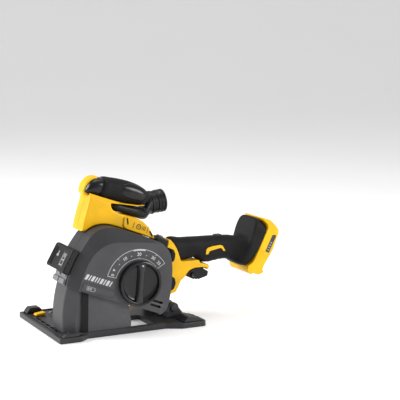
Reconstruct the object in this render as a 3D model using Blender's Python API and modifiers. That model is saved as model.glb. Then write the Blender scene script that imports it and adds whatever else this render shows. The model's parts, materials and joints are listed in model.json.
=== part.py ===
"""Cordless wall chaser: a twin-blade cutter that pivots down through a guard and shoe.

Lengths are written in millimetres and scaled to metres when a mesh is made.
The row frame has +X towards the battery foot, -Y on the dial side and +Z up, with the
origin on the floor in the middle of the object's box.

Two sets of profile coordinates are used, both measured from the plunge pivot:
- shoe points (x, z) are level with the floor;
- tool points (u, v) turn with the tool, which rests tipped up by REST_ANGLE.
"""

import math

import bmesh
import bpy
from mathutils import Matrix, Vector

# ---------------------------------------------------------------- driving dimensions (mm)
MM = 0.001
GAP = 0.3

PIVOT_X = 7.55
PIVOT_Z = 25.0
REST_ANGLE = math.radians(21.4)

SHOE_LENGTH = 260.0
SHOE_WIDTH = 200.0
SHOE_THICKNESS = 9.0
SHOE_FRONT = -220.0

BLADE_RADIUS = 62.5
BLADE_BORE = 11.1
BLADE_THICKNESS = 2.4
BLADE_Y = (-28.0, -55.0)
SPINDLE_UV = (-131.0, 4.6)
SPINDLE_RADIUS = 7.0

GEAR_MODULE = 1.0
GEAR_TEETH = 37
PINION_TEETH = 13
GEAR_CENTRES = GEAR_MODULE * (GEAR_TEETH + PINION_TEETH) / 2
MOTOR_DIRECTION = math.radians(51.0)
MOTOR_UV = (SPINDLE_UV[0] + GEAR_CENTRES * math.cos(MOTOR_DIRECTION),
            SPINDLE_UV[1] + GEAR_CENTRES * math.sin(MOTOR_DIRECTION))
MOTOR_RADIUS = 36.5

GUARD_RIM_RADIUS = 207.0
GUARD_WALL = 3.0
GUARD_BOTTOM_V = -15.4
GUARD_SEAM_Y = -42.0
GUARD_RIM_Y = (-71.0, -13.0)
GUARD_FACE_Y = (-88.0, 4.0)

HOOD_RIM_RADIUS = 203.0
HOOD_FACE_RADIUS = 187.0
HOOD_WALL = 2.6
HOOD_RIM_Y = (-65.0, -19.0)
HOOD_FACE_Y = (-80.0, -4.0)

DIAL_UV = (-93.7, 25.4)
DIAL_RADIUS = 37.0

BODY_SEAM_Y = -20.0
HOUSING_Y = (-43.0, 3.0)
HANDLE_Y = (-40.0, 0.0)
FOOT_Y = (-54.0, 14.0)

PORT_RADIUS = 19.0
PORT_START_UV = (-83.0, 153.0)
PORT_TILT = math.radians(28.0)

# ---------------------------------------------------------------- scene set-up
for old in list(bpy.data.objects):
    bpy.data.objects.remove(old, do_unlink=True)

PARTS = bpy.data.collections.new("wall_chaser")
CUTTERS = bpy.data.collections.new("cutters")
bpy.context.scene.collection.children.link(PARTS)
bpy.context.scene.collection.children.link(CUTTERS)


def make_material(name, colour, roughness, metallic=0.0):
    material = bpy.data.materials.new(name)
    material.use_nodes = True
    shader = material.node_tree.nodes["Principled BSDF"]
    shader.inputs["Base Color"].default_value = (*colour, 1.0)
    shader.inputs["Roughness"].default_value = roughness
    shader.inputs["Metallic"].default_value = metallic
    return material


YELLOW = make_material("yellow_plastic", (0.90, 0.55, 0.02), 0.38)
GRAPHITE = make_material("graphite_plastic", (0.085, 0.085, 0.09), 0.42)
BLACK = make_material("black_plastic", (0.018, 0.018, 0.02), 0.5)
RUBBER = make_material("soft_grip", (0.022, 0.022, 0.024), 0.8)
GREY = make_material("grey_plastic", (0.36, 0.36, 0.37), 0.45)
STEEL = make_material("steel", (0.62, 0.62, 0.64), 0.28, 1.0)
DARK_STEEL = make_material("blackened_steel", (0.10, 0.10, 0.11), 0.4, 1.0)
ALUMINIUM = make_material("cast_aluminium", (0.55, 0.56, 0.58), 0.45, 1.0)
COPPER = make_material("copper_winding", (0.72, 0.33, 0.14), 0.4, 1.0)


# ---------------------------------------------------------------- frames and outlines
def level(x, z):
    """A point level with the floor, measured from the pivot, in row millimetres."""
    return (x + PIVOT_X, z + PIVOT_Z)


def tool(u, v):
    """A point that turns with the tool, measured from the pivot, in row millimetres."""
    c, s = math.cos(REST_ANGLE), math.sin(REST_ANGLE)
    return (u * c + v * s + PIVOT_X, -u * s + v * c + PIVOT_Z)


def tool_outline(points):
    return [tool(u, v) for u, v in points]


def level_outline(points):
    """Outline points given as pivot-relative x and height above the floor."""
    return [(x + PIVOT_X, z) for x, z in points]


def arc(centre, radius, start, end, count):
    """Points on an arc; angles in degrees, anticlockwise from the first axis."""
    angles = [math.radians(start + (end - start) * i / (count - 1)) for i in range(count)]
    return [(centre[0] + radius * math.cos(a), centre[1] + radius * math.sin(a)) for a in angles]


def circle(centre, radius, count=48):
    return arc(centre, radius, 0, 360, count + 1)[:-1]


def rounded(points, radius, steps=4):
    """Round every corner of a closed outline, by at most a third of its shorter side."""
    result = []
    for i, here in enumerate(points):
        corner = Vector(here)
        before, after = Vector(points[i - 1]) - corner, Vector(points[(i + 1) % len(points)]) - corner
        reach = min(radius, before.length / 3, after.length / 3)
        start, end = corner + before.normalized() * reach, corner + after.normalized() * reach
        for k in range(steps + 1):
            t = k / steps
            result.append(tuple((1 - t) ** 2 * start + 2 * t * (1 - t) * corner + t * t * end))
    return result


def capsule(first, second, radius, count=15):
    """The outline round two equal circles."""
    angle = math.degrees(math.atan2(second[1] - first[1], second[0] - first[0]))
    return (arc(second, radius, angle - 90, angle + 90, count)
            + arc(first, radius, angle + 90, angle + 270, count))


# ---------------------------------------------------------------- makers of solids
def add_object(name, mesh, material):
    shape = bpy.data.objects.new(name, mesh)
    PARTS.objects.link(shape)
    if material is not None:
        mesh.materials.clear()
        mesh.materials.append(material)
    return shape


def curve_to_part(name, curve, matrix, material):
    """Turn a curve into a welded mesh object, with its placing baked in."""
    guide = bpy.data.objects.new(name + "_curve", curve)
    bpy.context.scene.collection.objects.link(guide)
    evaluated = guide.evaluated_get(bpy.context.evaluated_depsgraph_get())
    mesh = bpy.data.meshes.new_from_object(evaluated)
    bpy.data.objects.remove(guide, do_unlink=True)
    mesh.name = name
    mesh.transform(matrix)
    weld = bmesh.new()
    weld.from_mesh(mesh)
    bmesh.ops.remove_doubles(weld, verts=weld.verts, dist=1e-6)
    bmesh.ops.recalc_face_normals(weld, faces=weld.faces)
    weld.to_mesh(mesh)
    weld.free()
    return add_object(name, mesh, material)


def slab(name, loops, low, high, material, axis="Y"):
    """Extrude closed outlines, the first outside and the rest holes, between two levels.

    Along Y the outlines are (x, z) points; along Z they are (x, y) points.
    """
    curve = bpy.data.curves.new(name, "CURVE")
    curve.dimensions = "2D"
    curve.fill_mode = "BOTH"
    curve.extrude = (high - low) / 2 * MM
    for loop in loops:
        spline = curve.splines.new("POLY")
        spline.points.add(len(loop) - 1)
        for point, (a, b) in zip(spline.points, loop):
            point.co = (a * MM, b * MM, 0.0, 1.0)
        spline.use_cyclic_u = True
    middle = (low + high) / 2 * MM
    if axis == "Y":
        matrix = Matrix.Translation((0, middle, 0)) @ Matrix.Rotation(math.pi / 2, 4, "X")
    else:
        matrix = Matrix.Translation((0, 0, middle))
    return curve_to_part(name, curve, matrix, material)


def loft(name, rings, material):
    """Join rings of equally many points, with a flat face on each end ring."""
    shape = bmesh.new()
    rows = [[shape.verts.new(Vector(point) * MM) for point in ring] for ring in rings]
    count = len(rows[0])
    for row, following in zip(rows, rows[1:]):
        for i in range(count):
            j = (i + 1) % count
            shape.faces.new((row[i], row[j], following[j], following[i]))
    shape.faces.new(rows[0])
    shape.faces.new(rows[-1])
    bmesh.ops.recalc_face_normals(shape, faces=shape.faces)
    mesh = bpy.data.meshes.new(name)
    shape.to_mesh(mesh)
    shape.free()
    return add_object(name, mesh, material)


def turned(name, profile, centre, material, steps=36, direction=(0, 1, 0)):
    """Turn a closed (radius, height) profile about an axis through the centre."""
    mesh = bpy.data.meshes.new(name)
    points = [(radius * MM, 0, height * MM) for radius, height in profile]
    on_axis = profile[0][0] == 0 and profile[-1][0] == 0
    count = len(points)
    edges = [(i, (i + 1) % count) for i in range(count - 1 if on_axis else count)]
    mesh.from_pydata(points, edges, [])
    shape = add_object(name, mesh, material)
    shape.location = Vector(centre) * MM
    shape.rotation_mode = "QUATERNION"
    shape.rotation_quaternion = Vector((0, 0, 1)).rotation_difference(Vector(direction))
    screw = shape.modifiers.new("turn", "SCREW")
    screw.steps = steps
    screw.render_steps = steps
    screw.use_merge_vertices = True
    screw.merge_threshold = 1e-6
    return shape


def tube_profile(inner, outer, low, high):
    """A plain ring, listed down its outer side."""
    return [(inner, high), (outer, high), (outer, low), (inner, low)]


def box(name, low, high, material=None):
    centre = [(a + b) / 2 * MM for a, b in zip(low, high)]
    bpy.ops.mesh.primitive_cube_add(size=1.0, location=centre)
    shape = bpy.context.active_object
    shape.name = name
    shape.data.transform(Matrix.Diagonal([(b - a) * MM for a, b in zip(low, high)] + [1.0]))
    for collection in list(shape.users_collection):
        collection.objects.unlink(shape)
    PARTS.objects.link(shape)
    if material is not None:
        shape.data.materials.append(material)
    return shape


def rod(name, centre, radius, low, high, material=None, sides=40):
    """A cylinder along Y round an (x, z) centre."""
    bpy.ops.mesh.primitive_cylinder_add(vertices=sides, radius=radius * MM,
                                        depth=(high - low) * MM,
                                        location=(centre[0] * MM, (low + high) / 2 * MM, centre[1] * MM),
                                        rotation=(math.pi / 2, 0, 0))
    shape = bpy.context.active_object
    shape.name = name
    for collection in list(shape.users_collection):
        collection.objects.unlink(shape)
    PARTS.objects.link(shape)
    if material is not None:
        shape.data.materials.append(material)
    return shape


def combine(target, other, operation="DIFFERENCE"):
    """Cut the target with another shape, or join the two, and keep the other as a cutter."""
    modifier = target.modifiers.new(operation.lower(), "BOOLEAN")
    modifier.operation = operation
    modifier.solver = "EXACT"
    modifier.object = other
    other.name = "cutter_" + other.name
    other.hide_render = True
    other.display_type = "WIRE"
    for collection in list(other.users_collection):
        collection.objects.unlink(other)
    CUTTERS.objects.link(other)
    return target


def share_cutter(target, cutter):
    modifier = target.modifiers.new("difference", "BOOLEAN")
    modifier.operation = "DIFFERENCE"
    modifier.solver = "EXACT"
    modifier.object = cutter
    return target


def soften(shape, width, segments=2, angle=30.0):
    bevel = shape.modifiers.new("soften", "BEVEL")
    bevel.width = width * MM
    bevel.segments = segments
    bevel.limit_method = "ANGLE"
    bevel.angle_limit = math.radians(angle)
    return shape


def set_origin(shape, x, y, z):
    """Move an object's origin, keeping its shape in place."""
    target = Vector((x, y, z)) * MM
    shape.data.transform(Matrix.Translation(shape.location - target))
    shape.location = target
    return shape


def oval_section(bottom, top, y_centre, half_width, inset=0.0, power=2.6, count=24):
    """A rounded-box ring between a bottom and a top point, both (x, z)."""
    low, high = Vector(bottom), Vector(top)
    middle, half = (low + high) / 2, (high - low) / 2
    half = half * (1 - inset / half.length)
    ring = []
    for i in range(count):
        t = 2 * math.pi * i / count
        a, b = math.cos(t), math.sin(t)
        across = math.copysign(abs(a) ** (2 / power), a) * (half_width - inset)
        along = math.copysign(abs(b) ** (2 / power), b)
        ring.append((middle.x + half.x * along, y_centre + across, middle.y + half.y * along))
    return ring


# ================================================================ shoe and lower guard
def make_shoe_plate():
    front, rear = SHOE_FRONT, SHOE_FRONT + SHOE_LENGTH
    side = SHOE_WIDTH / 2
    outer = [(front, -side), (front + 37, -side), (front + 53, -side + 13), (-30, -side + 13),
             (-4, -side), (rear - 4, -side), (rear, -side + 6), (rear, -62), (22, -56),
             (22, 60), (rear, 66), (rear, side - 6), (rear - 4, side), (front, side)]
    blade_window = [(-196, -74), (-45, -74), (-45, -9), (-196, -9)]
    case_window = [(-158, -1), (-104, -1), (-104, 47), (-158, 47)]
    loops = [outer, rounded(blade_window, 6), rounded(case_window, 6)]
    loops = [[(x + PIVOT_X, y) for x, y in loop] for loop in loops]
    plate = slab("shoe_plate", loops, 0, SHOE_THICKNESS, GRAPHITE, axis="Z")
    groove = box("lip_groove", (front + 5 + PIVOT_X, -side + 9, SHOE_THICKNESS - 3),
                 (front + 8 + PIVOT_X, side - 9, SHOE_THICKNESS + 3))
    combine(plate, groove)
    return soften(plate, 1.2, segments=1)


def hood_outline(radius):
    """Side outline of the lower guard: an arc about the pivot, its top just inside the tool."""
    foot = SHOE_THICKNESS + GAP - PIVOT_Z
    top_v = -5.0
    start = 180 - math.degrees(math.asin(foot / radius))
    end = 180 - math.degrees(REST_ANGLE) + math.degrees(math.asin(-top_v / radius))
    front = arc((0, 0), radius, start, end, 9)
    rear_top_u = -99.0
    c, s = math.cos(REST_ANGLE), math.sin(REST_ANGLE)
    rear_top = (rear_top_u * c + top_v * s, -rear_top_u * s + top_v * c)
    rear = [rear_top, (-92.5, 8.0), (-90.0, -3.0), (-90.0, foot)]
    return [level(x, z) for x, z in front + rear]


def hood_cavity(radius):
    """Cavity of the lower guard: the same front arc, run out past the top, rear and foot."""
    front = arc((0, 0), radius, 190, 150, 9)
    rear = [(-120, 130), (-50, 60), (-50, -10), (-50, -60)]
    return [level(x, z) for x, z in front + rear]


def ring_at(outline, y):
    return [(x, y, z) for x, z in outline]


def make_lower_guard():
    levels = ((HOOD_FACE_Y[0], HOOD_FACE_RADIUS), (HOOD_RIM_Y[0], HOOD_RIM_RADIUS),
              (HOOD_RIM_Y[1], HOOD_RIM_RADIUS), (HOOD_FACE_Y[1], HOOD_FACE_RADIUS))
    hood = loft("lower_guard", [ring_at(hood_outline(r), y) for y, r in levels], GRAPHITE)
    inward = (HOOD_WALL, 1.0, -1.0, -HOOD_WALL)
    inner = [ring_at(hood_cavity(r - HOOD_WALL), y + step)
             for (y, r), step in zip(levels, inward)]
    combine(hood, loft("hood_cavity", inner, None))
    spindle_way = box("spindle_way", (-158 + PIVOT_X, -12, 0), (-40 + PIVOT_X, 2, 120))
    return combine(hood, spindle_way)


def make_shoe_hinge():
    """Two lugs on one strap carry the plunge pin at the back of the shoe."""
    foot = SHOE_THICKNESS + GAP
    lug = level_outline([(-13, foot), (18, foot), (18, foot + 4)]) + \
        arc(level(0, 0), 9.0, 0, 180, 13) + level_outline([(-13, foot + 4)])
    near = slab("shoe_hinge", [lug], -54, -46, GRAPHITE)
    far = slab("hinge_lug_far", [lug], 40, 48, None)
    strap = box("hinge_strap", (-13 + PIVOT_X, -48, foot), (18 + PIVOT_X, 42, foot + 3.2))
    combine(near, far, "UNION")
    combine(near, strap, "UNION")
    return combine(near, rod("pin_way", level(0, 0), 4.3, -60, 60))


def make_hinge_pin():
    profile = [(0, 51), (6.5, 51), (6.5, 48.4), (4.0, 48.4), (4.0, -54.4), (6.0, -54.4),
               (6.0, -57.0), (0, -57.0)]
    x, z = level(0, 0)
    return turned("hinge_pin", profile, (x, 0, z), STEEL, steps=32)


def make_corner_pads():
    """Raised blocks on the four corners of the shoe."""
    foot = SHOE_THICKNESS + GAP
    front = [(-214, foot), (-186, foot), (-190, foot + 5), (-208, foot + 5)]
    far_front = [(-214, foot), (-182, foot), (-190, foot + 9), (-207, foot + 9)]
    rear = [(-2, foot), (36, foot), (34, foot + 2), (13, foot + 9), (6, foot + 9)]
    rows = (("corner_pad_front_near", front, -98, -89), ("corner_pad_front_far", far_front, 80, 97),
            ("corner_pad_rear_near", rear, -97, -64), ("corner_pad_rear_far", rear, 68, 97))
    for name, outline, low, high in rows:
        soften(slab(name, [level_outline(outline)], low, high, GRAPHITE), 1.2, segments=1)


def make_cut_marker():
    """Yellow pointer on the far side that shows the line of cut."""
    foot = SHOE_THICKNESS + GAP
    outline = [(-206, foot), (-186, foot), (-188, foot + 5), (-204, foot + 3)]
    return slab("cut_marker", [level_outline(outline)], 56, 68, YELLOW)


# ================================================================ blade guard
RIM_REAR = [(-82, 98.3), (-65, 95.7), (-56, 89), (-50, 80), (-44, 69), (-38, 50), (-34, 37),
            (-29.5, 15), (-28, 0), (-30.6, -8.3), (-37.7, GUARD_BOTTOM_V)]
RIM_TOP = [(-188, 82.0), (-181, 88.5), (-172, 93.5), (-161, 96.7), (-148, 98.0), (-125, 98.4),
           (-100, 98.5)]
FACE_FRONT = [(-190, GUARD_BOTTOM_V), (-190.4, -4), (-190.6, 8), (-190.4, 19), (-189, 31),
              (-186, 43), (-181, 54)]
FACE_TOP = [(-174, 63), (-166, 70), (-155, 75.6), (-142, 80), (-129, 84), (-115, 88), (-99, 92)]
FACE_REAR = [(-82, 95), (-67, 93), (-57.5, 86.5), (-51.5, 78), (-45.8, 67.5), (-39.5, 49.5),
             (-35.5, 36.5), (-31, 14.5), (-29.5, 0.5), (-32, -7.8), (-38.5, GUARD_BOTTOM_V)]


def rim_outline():
    """Widest outline of the guard: an arc about the pivot that runs over into the top."""
    start = 180 + math.degrees(math.asin(-GUARD_BOTTOM_V / GUARD_RIM_RADIUS))
    front = arc((0, 0), GUARD_RIM_RADIUS, start, 159, 7)
    return front + RIM_TOP + RIM_REAR


def face_outline():
    return FACE_FRONT + FACE_TOP + FACE_REAR


def inset_outline(points, distance, drop):
    """Move each side of a clockwise outline inwards, and run its bottom side out below."""
    count = len(points)
    moved = []
    for i, here in enumerate(points):
        corner = Vector(here)
        before = (corner - Vector(points[i - 1])).normalized()
        after = (Vector(points[(i + 1) % count]) - corner).normalized()
        if i == 0:
            before = after
        if i == count - 1:
            after = before
        bisector = (Vector((before.y, -before.x)) + Vector((after.y, -after.x))).normalized()
        cosine = bisector.dot(Vector((after.y, -after.x)))
        corner = corner + bisector * (distance / max(cosine, 0.5))
        if i in (0, count - 1):
            corner.y -= drop
        moved.append(tuple(corner))
    return moved


def guard_half(name, seam, rim_y, face_y):
    """One half shell of the blade guard, open at the seam and along the bottom."""
    outward = 1 if face_y > seam else -1
    rim, face = rim_outline(), face_outline()
    rings = [(rim, seam), (rim, rim_y), (face, face_y)]
    shell = loft(name, [ring_at(tool_outline(line), y) for line, y in rings], GRAPHITE)
    inner_rim = inset_outline(rim, GUARD_WALL, 12)
    inner_face = inset_outline(face, GUARD_WALL, 12)
    cavity = [(inner_rim, seam - outward * 2), (inner_rim, rim_y - outward * 1.2),
              (inner_face, face_y - outward * GUARD_WALL)]
    hollow = loft(name + "_cavity", [ring_at(tool_outline(line), y) for line, y in cavity], None)
    return combine(shell, hollow)


def tool_box(name, u_range, y_range, v_range):
    """A box lined up with the tipped tool."""
    outline = [tool(u_range[0], v_range[0]), tool(u_range[1], v_range[0]),
               tool(u_range[1], v_range[1]), tool(u_range[0], v_range[1])]
    return slab(name, [outline], y_range[0], y_range[1], None)


DUST_SLOT_U = (-146, -112)
DUST_SLOT_Y = (-38, -16)


def make_guard():
    near = guard_half("guard_near", GUARD_SEAM_Y - GAP / 2, GUARD_RIM_Y[0], GUARD_FACE_Y[0])
    combine(near, rod("dial_way", tool(*DIAL_UV), 6.4, -95, -80))
    for row, (u, v) in enumerate(((-51, 4.6), (-52, -2.6))):
        slot = capsule(tool(u - 8, v), tool(u + 8, v), 2.0, 7)
        combine(near, slab(f"vent_{row}", [slot], -95, -80, None))
    far = guard_half("guard_far", GUARD_SEAM_Y + GAP / 2, GUARD_RIM_Y[1], GUARD_FACE_Y[1])
    combine(far, rod("spindle_hole", tool(*SPINDLE_UV), 16.0, -5, 10))
    combine(far, tool_box("dust_slot_guard", DUST_SLOT_U, DUST_SLOT_Y, (85, 104)))
    return near, far


def make_name_plate():
    outline = [tool(-187, -13.2), tool(-186.6, 0)] + \
        [tool(u, v) for u, v in arc((-134, -5.2), 6.2, 75, -75, 7)]
    return slab("name_plate", [outline], GUARD_FACE_Y[0] - 1.1, GUARD_FACE_Y[0] - GAP, GRAPHITE)


def make_lock_plate():
    """Light grey wear strip along the front lip of the guard, with two raised tabs."""
    inner, outer = GUARD_RIM_RADIUS + GAP, GUARD_RIM_RADIUS + 1.9
    strip = arc((0, 0), inner, 184.2, 179.5, 5) + arc((0, 0), outer, 179.5, 184.2, 5)
    plate = slab("lock_plate", [tool_outline(strip)], -66, -17, GREY)
    for row, (low, high) in enumerate(((-15.0, -5.5), (-2.0, 1.6))):
        tab = tool_box(f"lock_tab_{row}", (-211.5, -207.9), (-65, -18), (low, high))
        combine(plate, tab, "UNION")
    return plate


def make_bumpers():
    upper = [(-54.2, 89.5), (-50, 94.5), (-43.5, 88.5), (-41.2, 80), (-42, 73.5), (-45.6, 73.3),
             (-49.3, 80.4)]
    lower = [(-36.6, 50.5), (-30, 50), (-24.6, 42), (-24.5, 33), (-27.5, 27.5), (-31.0, 28.5)]
    for name, outline in (("bumper_upper", upper), ("bumper_lower", lower)):
        slab(name, [tool_outline(outline)], -80, -46, RUBBER)


# ================================================================ drive train
def at_spindle(y=0.0):
    x, z = tool(*SPINDLE_UV)
    return (x, y, z)


def at_motor(y=0.0):
    x, z = tool(*MOTOR_UV)
    return (x, y, z)


def involute_gear(teeth, bore, turn):
    """Loops of a spur gear: involute flanks with a little backlash, and a round bore."""
    pitch = GEAR_MODULE * teeth / 2
    base, tip, root = pitch * math.cos(math.radians(20)), pitch + 0.9, pitch - 1.15
    half_tooth = (math.pi * GEAR_MODULE / 2 - 0.18) / 2 / pitch

    def roll(radius):
        across = math.acos(min(1.0, base / radius))
        return math.tan(across) - across

    start = max(base, root + 0.05)
    radii = [start + (tip - start) * k / 2 for k in range(3)]
    outline = []
    for tooth in range(teeth):
        middle = turn + 2 * math.pi * tooth / teeth
        flank = [(r, half_tooth + roll(pitch) - roll(r)) for r in radii]
        points = [(root, flank[0][1])] + flank
        outline += [(r, middle - a) for r, a in points]
        outline += [(r, middle + a) for r, a in reversed(points)]
    outer = [(r * math.cos(a), r * math.sin(a)) for r, a in outline]
    return [outer, circle((0, 0), bore, 32)]


def make_gears():
    towards_motor = math.atan2(at_motor()[2] - at_spindle()[2], at_motor()[0] - at_spindle()[0])
    rows = (("spindle_gear", GEAR_TEETH, SPINDLE_RADIUS + GAP, towards_motor, at_spindle(), (18, 28)),
            ("pinion", PINION_TEETH, 4.0 + GAP, towards_motor + math.pi + math.pi / PINION_TEETH,
             at_motor(), (17, 29)))
    for name, teeth, bore, turn, centre, (low, high) in rows:
        loops = [[(x + centre[0], z + centre[2]) for x, z in loop]
                 for loop in involute_gear(teeth, bore, turn)]
        set_origin(slab(name, loops, low, high, STEEL), centre[0], (low + high) / 2, centre[2])


def make_gear_case():
    first, second = tool(*SPINDLE_UV), tool(*MOTOR_UV)
    low = GUARD_FACE_Y[1] + GAP
    case = slab("gear_case", [capsule(first, second, 24.5)], low, 36, ALUMINIUM)
    combine(case, slab("gear_room", [capsule(first, second, 21.5)], 16, 40, None))
    combine(case, rod("bearing_seat", first, 14.3, 8.3, 17))
    return combine(case, rod("spindle_way_case", first, 9.5, 0, 10))


def make_gear_cover():
    first, second = tool(*SPINDLE_UV), tool(*MOTOR_UV)
    cover = slab("gear_cover", [capsule(first, second, 24.5)], 36.3, 42, ALUMINIUM)
    flange = rod("motor_flange", second, MOTOR_RADIUS, 38.5, 42, sides=48)
    combine(cover, flange, "UNION")
    combine(cover, rod("cover_seat_spindle", first, 11.3, 30, 41))
    return combine(cover, rod("cover_seat_rotor", second, 8.3, 30, 50))


def make_motor():
    turned("motor_housing", tube_profile(MOTOR_RADIUS - 3.2, MOTOR_RADIUS, 42.3, 90), at_motor(),
           YELLOW, steps=48)
    cap = [(0, 99), (MOTOR_RADIUS - 2, 99), (MOTOR_RADIUS, 97), (MOTOR_RADIUS, 90.3),
           (MOTOR_RADIUS - 3, 90.3), (MOTOR_RADIUS - 3, 96), (11, 96), (11, 90.8), (8.3, 90.8),
           (8.3, 96), (0, 96)]
    cover = turned("motor_cap", cap, at_motor(), BLACK, steps=48)
    for row in range(7):
        angle = 2 * math.pi * (row + 0.31) / 7
        x, z = at_motor()[0], at_motor()[2]
        start = (x + 16 * math.cos(angle), z + 16 * math.sin(angle))
        end = (x + 28 * math.cos(angle), z + 28 * math.sin(angle))
        combine(cover, slab(f"cap_vent_{row}", [capsule(start, end, 2.0, 5)], 94, 104, None))
    turned("stator", tube_profile(18.2, MOTOR_RADIUS - 3.5, 50, 80), at_motor(), COPPER)
    rotor = [(0, 95.4), (4, 95.4), (4, 81), (17.4, 81), (17.4, 49), (4, 49), (4, 16.4), (0, 16.4)]
    turned("rotor", rotor, at_motor(), DARK_STEEL, steps=28)


def make_fan():
    """A hub disc with straight blades round it."""
    blades, hub, tip = 11, 12.0, 29.0
    outline = []
    for blade in range(blades):
        middle = 2 * math.pi * blade / blades
        for radius, half in ((hub, 0.16), (tip, 0.05)):
            outline.append((radius, middle - half))
        for radius, half in ((tip, 0.05), (hub, 0.16)):
            outline.append((radius, middle + half))
    x, z = at_motor()[0], at_motor()[2]
    outer = [(x + r * math.cos(a), z + r * math.sin(a)) for r, a in outline]
    fan = slab("fan", [outer, circle((x, z), 4.0 + GAP, 32)], 83, 89, BLACK)
    return set_origin(fan, x, 86, z)


def make_bearings():
    rows = (("spindle_bearing_near", SPINDLE_RADIUS + GAP, 14.0, 8.6, 15.4, at_spindle()),
            ("spindle_bearing_far", 5.9, 11.0, 36.6, 40.7, at_spindle()),
            ("rotor_bearing_front", 4.3, 8.0, 36.6, 41.7, at_motor()),
            ("rotor_bearing_rear", 4.3, 8.0, 90.9, 95.6, at_motor()))
    for name, inner, outer, low, high, centre in rows:
        turned(name, tube_profile(inner, outer, low, high), centre, STEEL, steps=24)


def make_spindle():
    r = SPINDLE_RADIUS
    profile = [(0, 40.6), (5.6, 40.6), (5.6, 36.0), (r, 36.0), (r, -66), (r - 1, -67), (0, -67)]
    turned("spindle", profile, at_spindle(), STEEL, steps=28)
    sleeve = 10.8
    flange = [(r + GAP, -19), (18, -19), (21, -22), (21, -26.5), (sleeve, -26.5),
              (sleeve, -57.5), (r + GAP, -57.5)]
    turned("inner_flange", flange, at_spindle(), DARK_STEEL)
    spacer_high = BLADE_Y[0] - BLADE_THICKNESS / 2 - GAP
    spacer_low = BLADE_Y[1] + BLADE_THICKNESS / 2 + GAP
    turned("blade_spacer", tube_profile(BLADE_BORE, 19, spacer_low, spacer_high), at_spindle(), STEEL)
    nut_high = BLADE_Y[1] - BLADE_THICKNESS / 2 - GAP
    nut = [(BLADE_BORE, nut_high), (21, nut_high), (21, -60.5), (15, -61.5), (15, -65.5),
           (r + GAP, -65.5), (r + GAP, -58), (BLADE_BORE, -58)]
    turned("flange_nut", nut, at_spindle(), DARK_STEEL)


def make_blades():
    """Diamond blades: eleven rim segments with a keyhole gullet between each pair."""
    segments, gullet, depth = 11, 0.022, 8.0
    outline = []
    for i in range(segments):
        start = 2 * math.pi * i / segments
        end = 2 * math.pi * (i + 1) / segments
        outline.append((BLADE_RADIUS - depth, start + gullet))
        for k in range(7):
            angle = start + gullet + (end - start - 2 * gullet) * k / 6
            outline.append((BLADE_RADIUS, angle))
        outline.append((BLADE_RADIUS - depth, end - gullet))
    x, _, z = at_spindle()
    outer = [(x + r * math.cos(a), z + r * math.sin(a)) for r, a in outline]
    bore = circle((x, z), BLADE_BORE, 36)
    half = BLADE_THICKNESS / 2
    for name, middle in zip(("blade_far", "blade_near"), BLADE_Y):
        blade = slab(name, [outer, bore], middle - half, middle + half, STEEL)
        set_origin(blade, x, middle, z)


def make_pivot_bracket():
    """Barrel on the plunge pin, with an arm to the side of the gear case."""
    arm = [(-89.5, -4), (-12, -6.5), (0, -8), (5.6, -5.6), (8, 0), (5.6, 5.6), (-6, 16),
           (-22, 30), (-40, 42), (-70, 46), (-86, 44), (-89.5, 38)]
    bracket = slab("pivot_bracket", [tool_outline(arm)], 5, 36, ALUMINIUM)
    foot = [(-26.5, 13), (-8, 13), (2, 25), (1, 40), (-22, 44), (-26.5, 36)]
    combine(bracket, slab("frame_boss", [tool_outline(foot)], HANDLE_Y[1] + GAP, 34, None), "UNION")
    combine(bracket, rod("barrel", level(0, 0), 8.0, -45.7, 39.7), "UNION")
    return combine(bracket, rod("barrel_bore", level(0, 0), 4.3, -60, 60))


def coil(name, centre, radius, wire, low, high, turns, material):
    """A close helix along Y with straight cut ends."""
    per_turn = 12
    count = turns * per_turn
    curve = bpy.data.curves.new(name, "CURVE")
    curve.dimensions = "3D"
    curve.bevel_depth = wire * MM
    curve.bevel_resolution = 1
    curve.use_fill_caps = True
    spline = curve.splines.new("POLY")
    spline.points.add(count)
    for i, point in enumerate(spline.points):
        angle = 2 * math.pi * i / per_turn
        y = low + (high - low) * i / count
        point.co = ((centre[0] + radius * math.cos(angle)) * MM, y * MM,
                    (centre[1] + radius * math.sin(angle)) * MM, 1.0)
    return curve_to_part(name, curve, Matrix.Identity(4), material)


# ================================================================ yellow housings
def housing_outline():
    rim = [(-82, 98.8), (-100, 99.0), (-125, 98.9), (-148, 98.5), (-161.2, 97.2), (-172.3, 94.0),
           (-181.4, 88.9), (-188.4, 82.4), (-193.6, 75.2)]
    front = [(-197.5, 92), (-200.5, 108), (-202.5, 121), (-203, 133.2)]
    top = [(-166, 133.2), (-163.5, 127.5), (-159, 123.4), (-152, 122), (-107, 122), (-95, 119),
           (-84, 113), (-75.5, 106), (-69, 99.2)]
    return rim + front + top


def housing_cavity():
    return [(-78, 102.4), (-100, 102.2), (-148, 101.7), (-162, 100.3), (-173.5, 97.2),
            (-183, 91.9), (-189, 86), (-193.8, 97), (-197.3, 112), (-199.6, 130.2), (-169, 130.2),
            (-166, 124.5), (-160.5, 120.2), (-153, 119), (-108, 119), (-97, 116.2), (-86, 110.4)]


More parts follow.
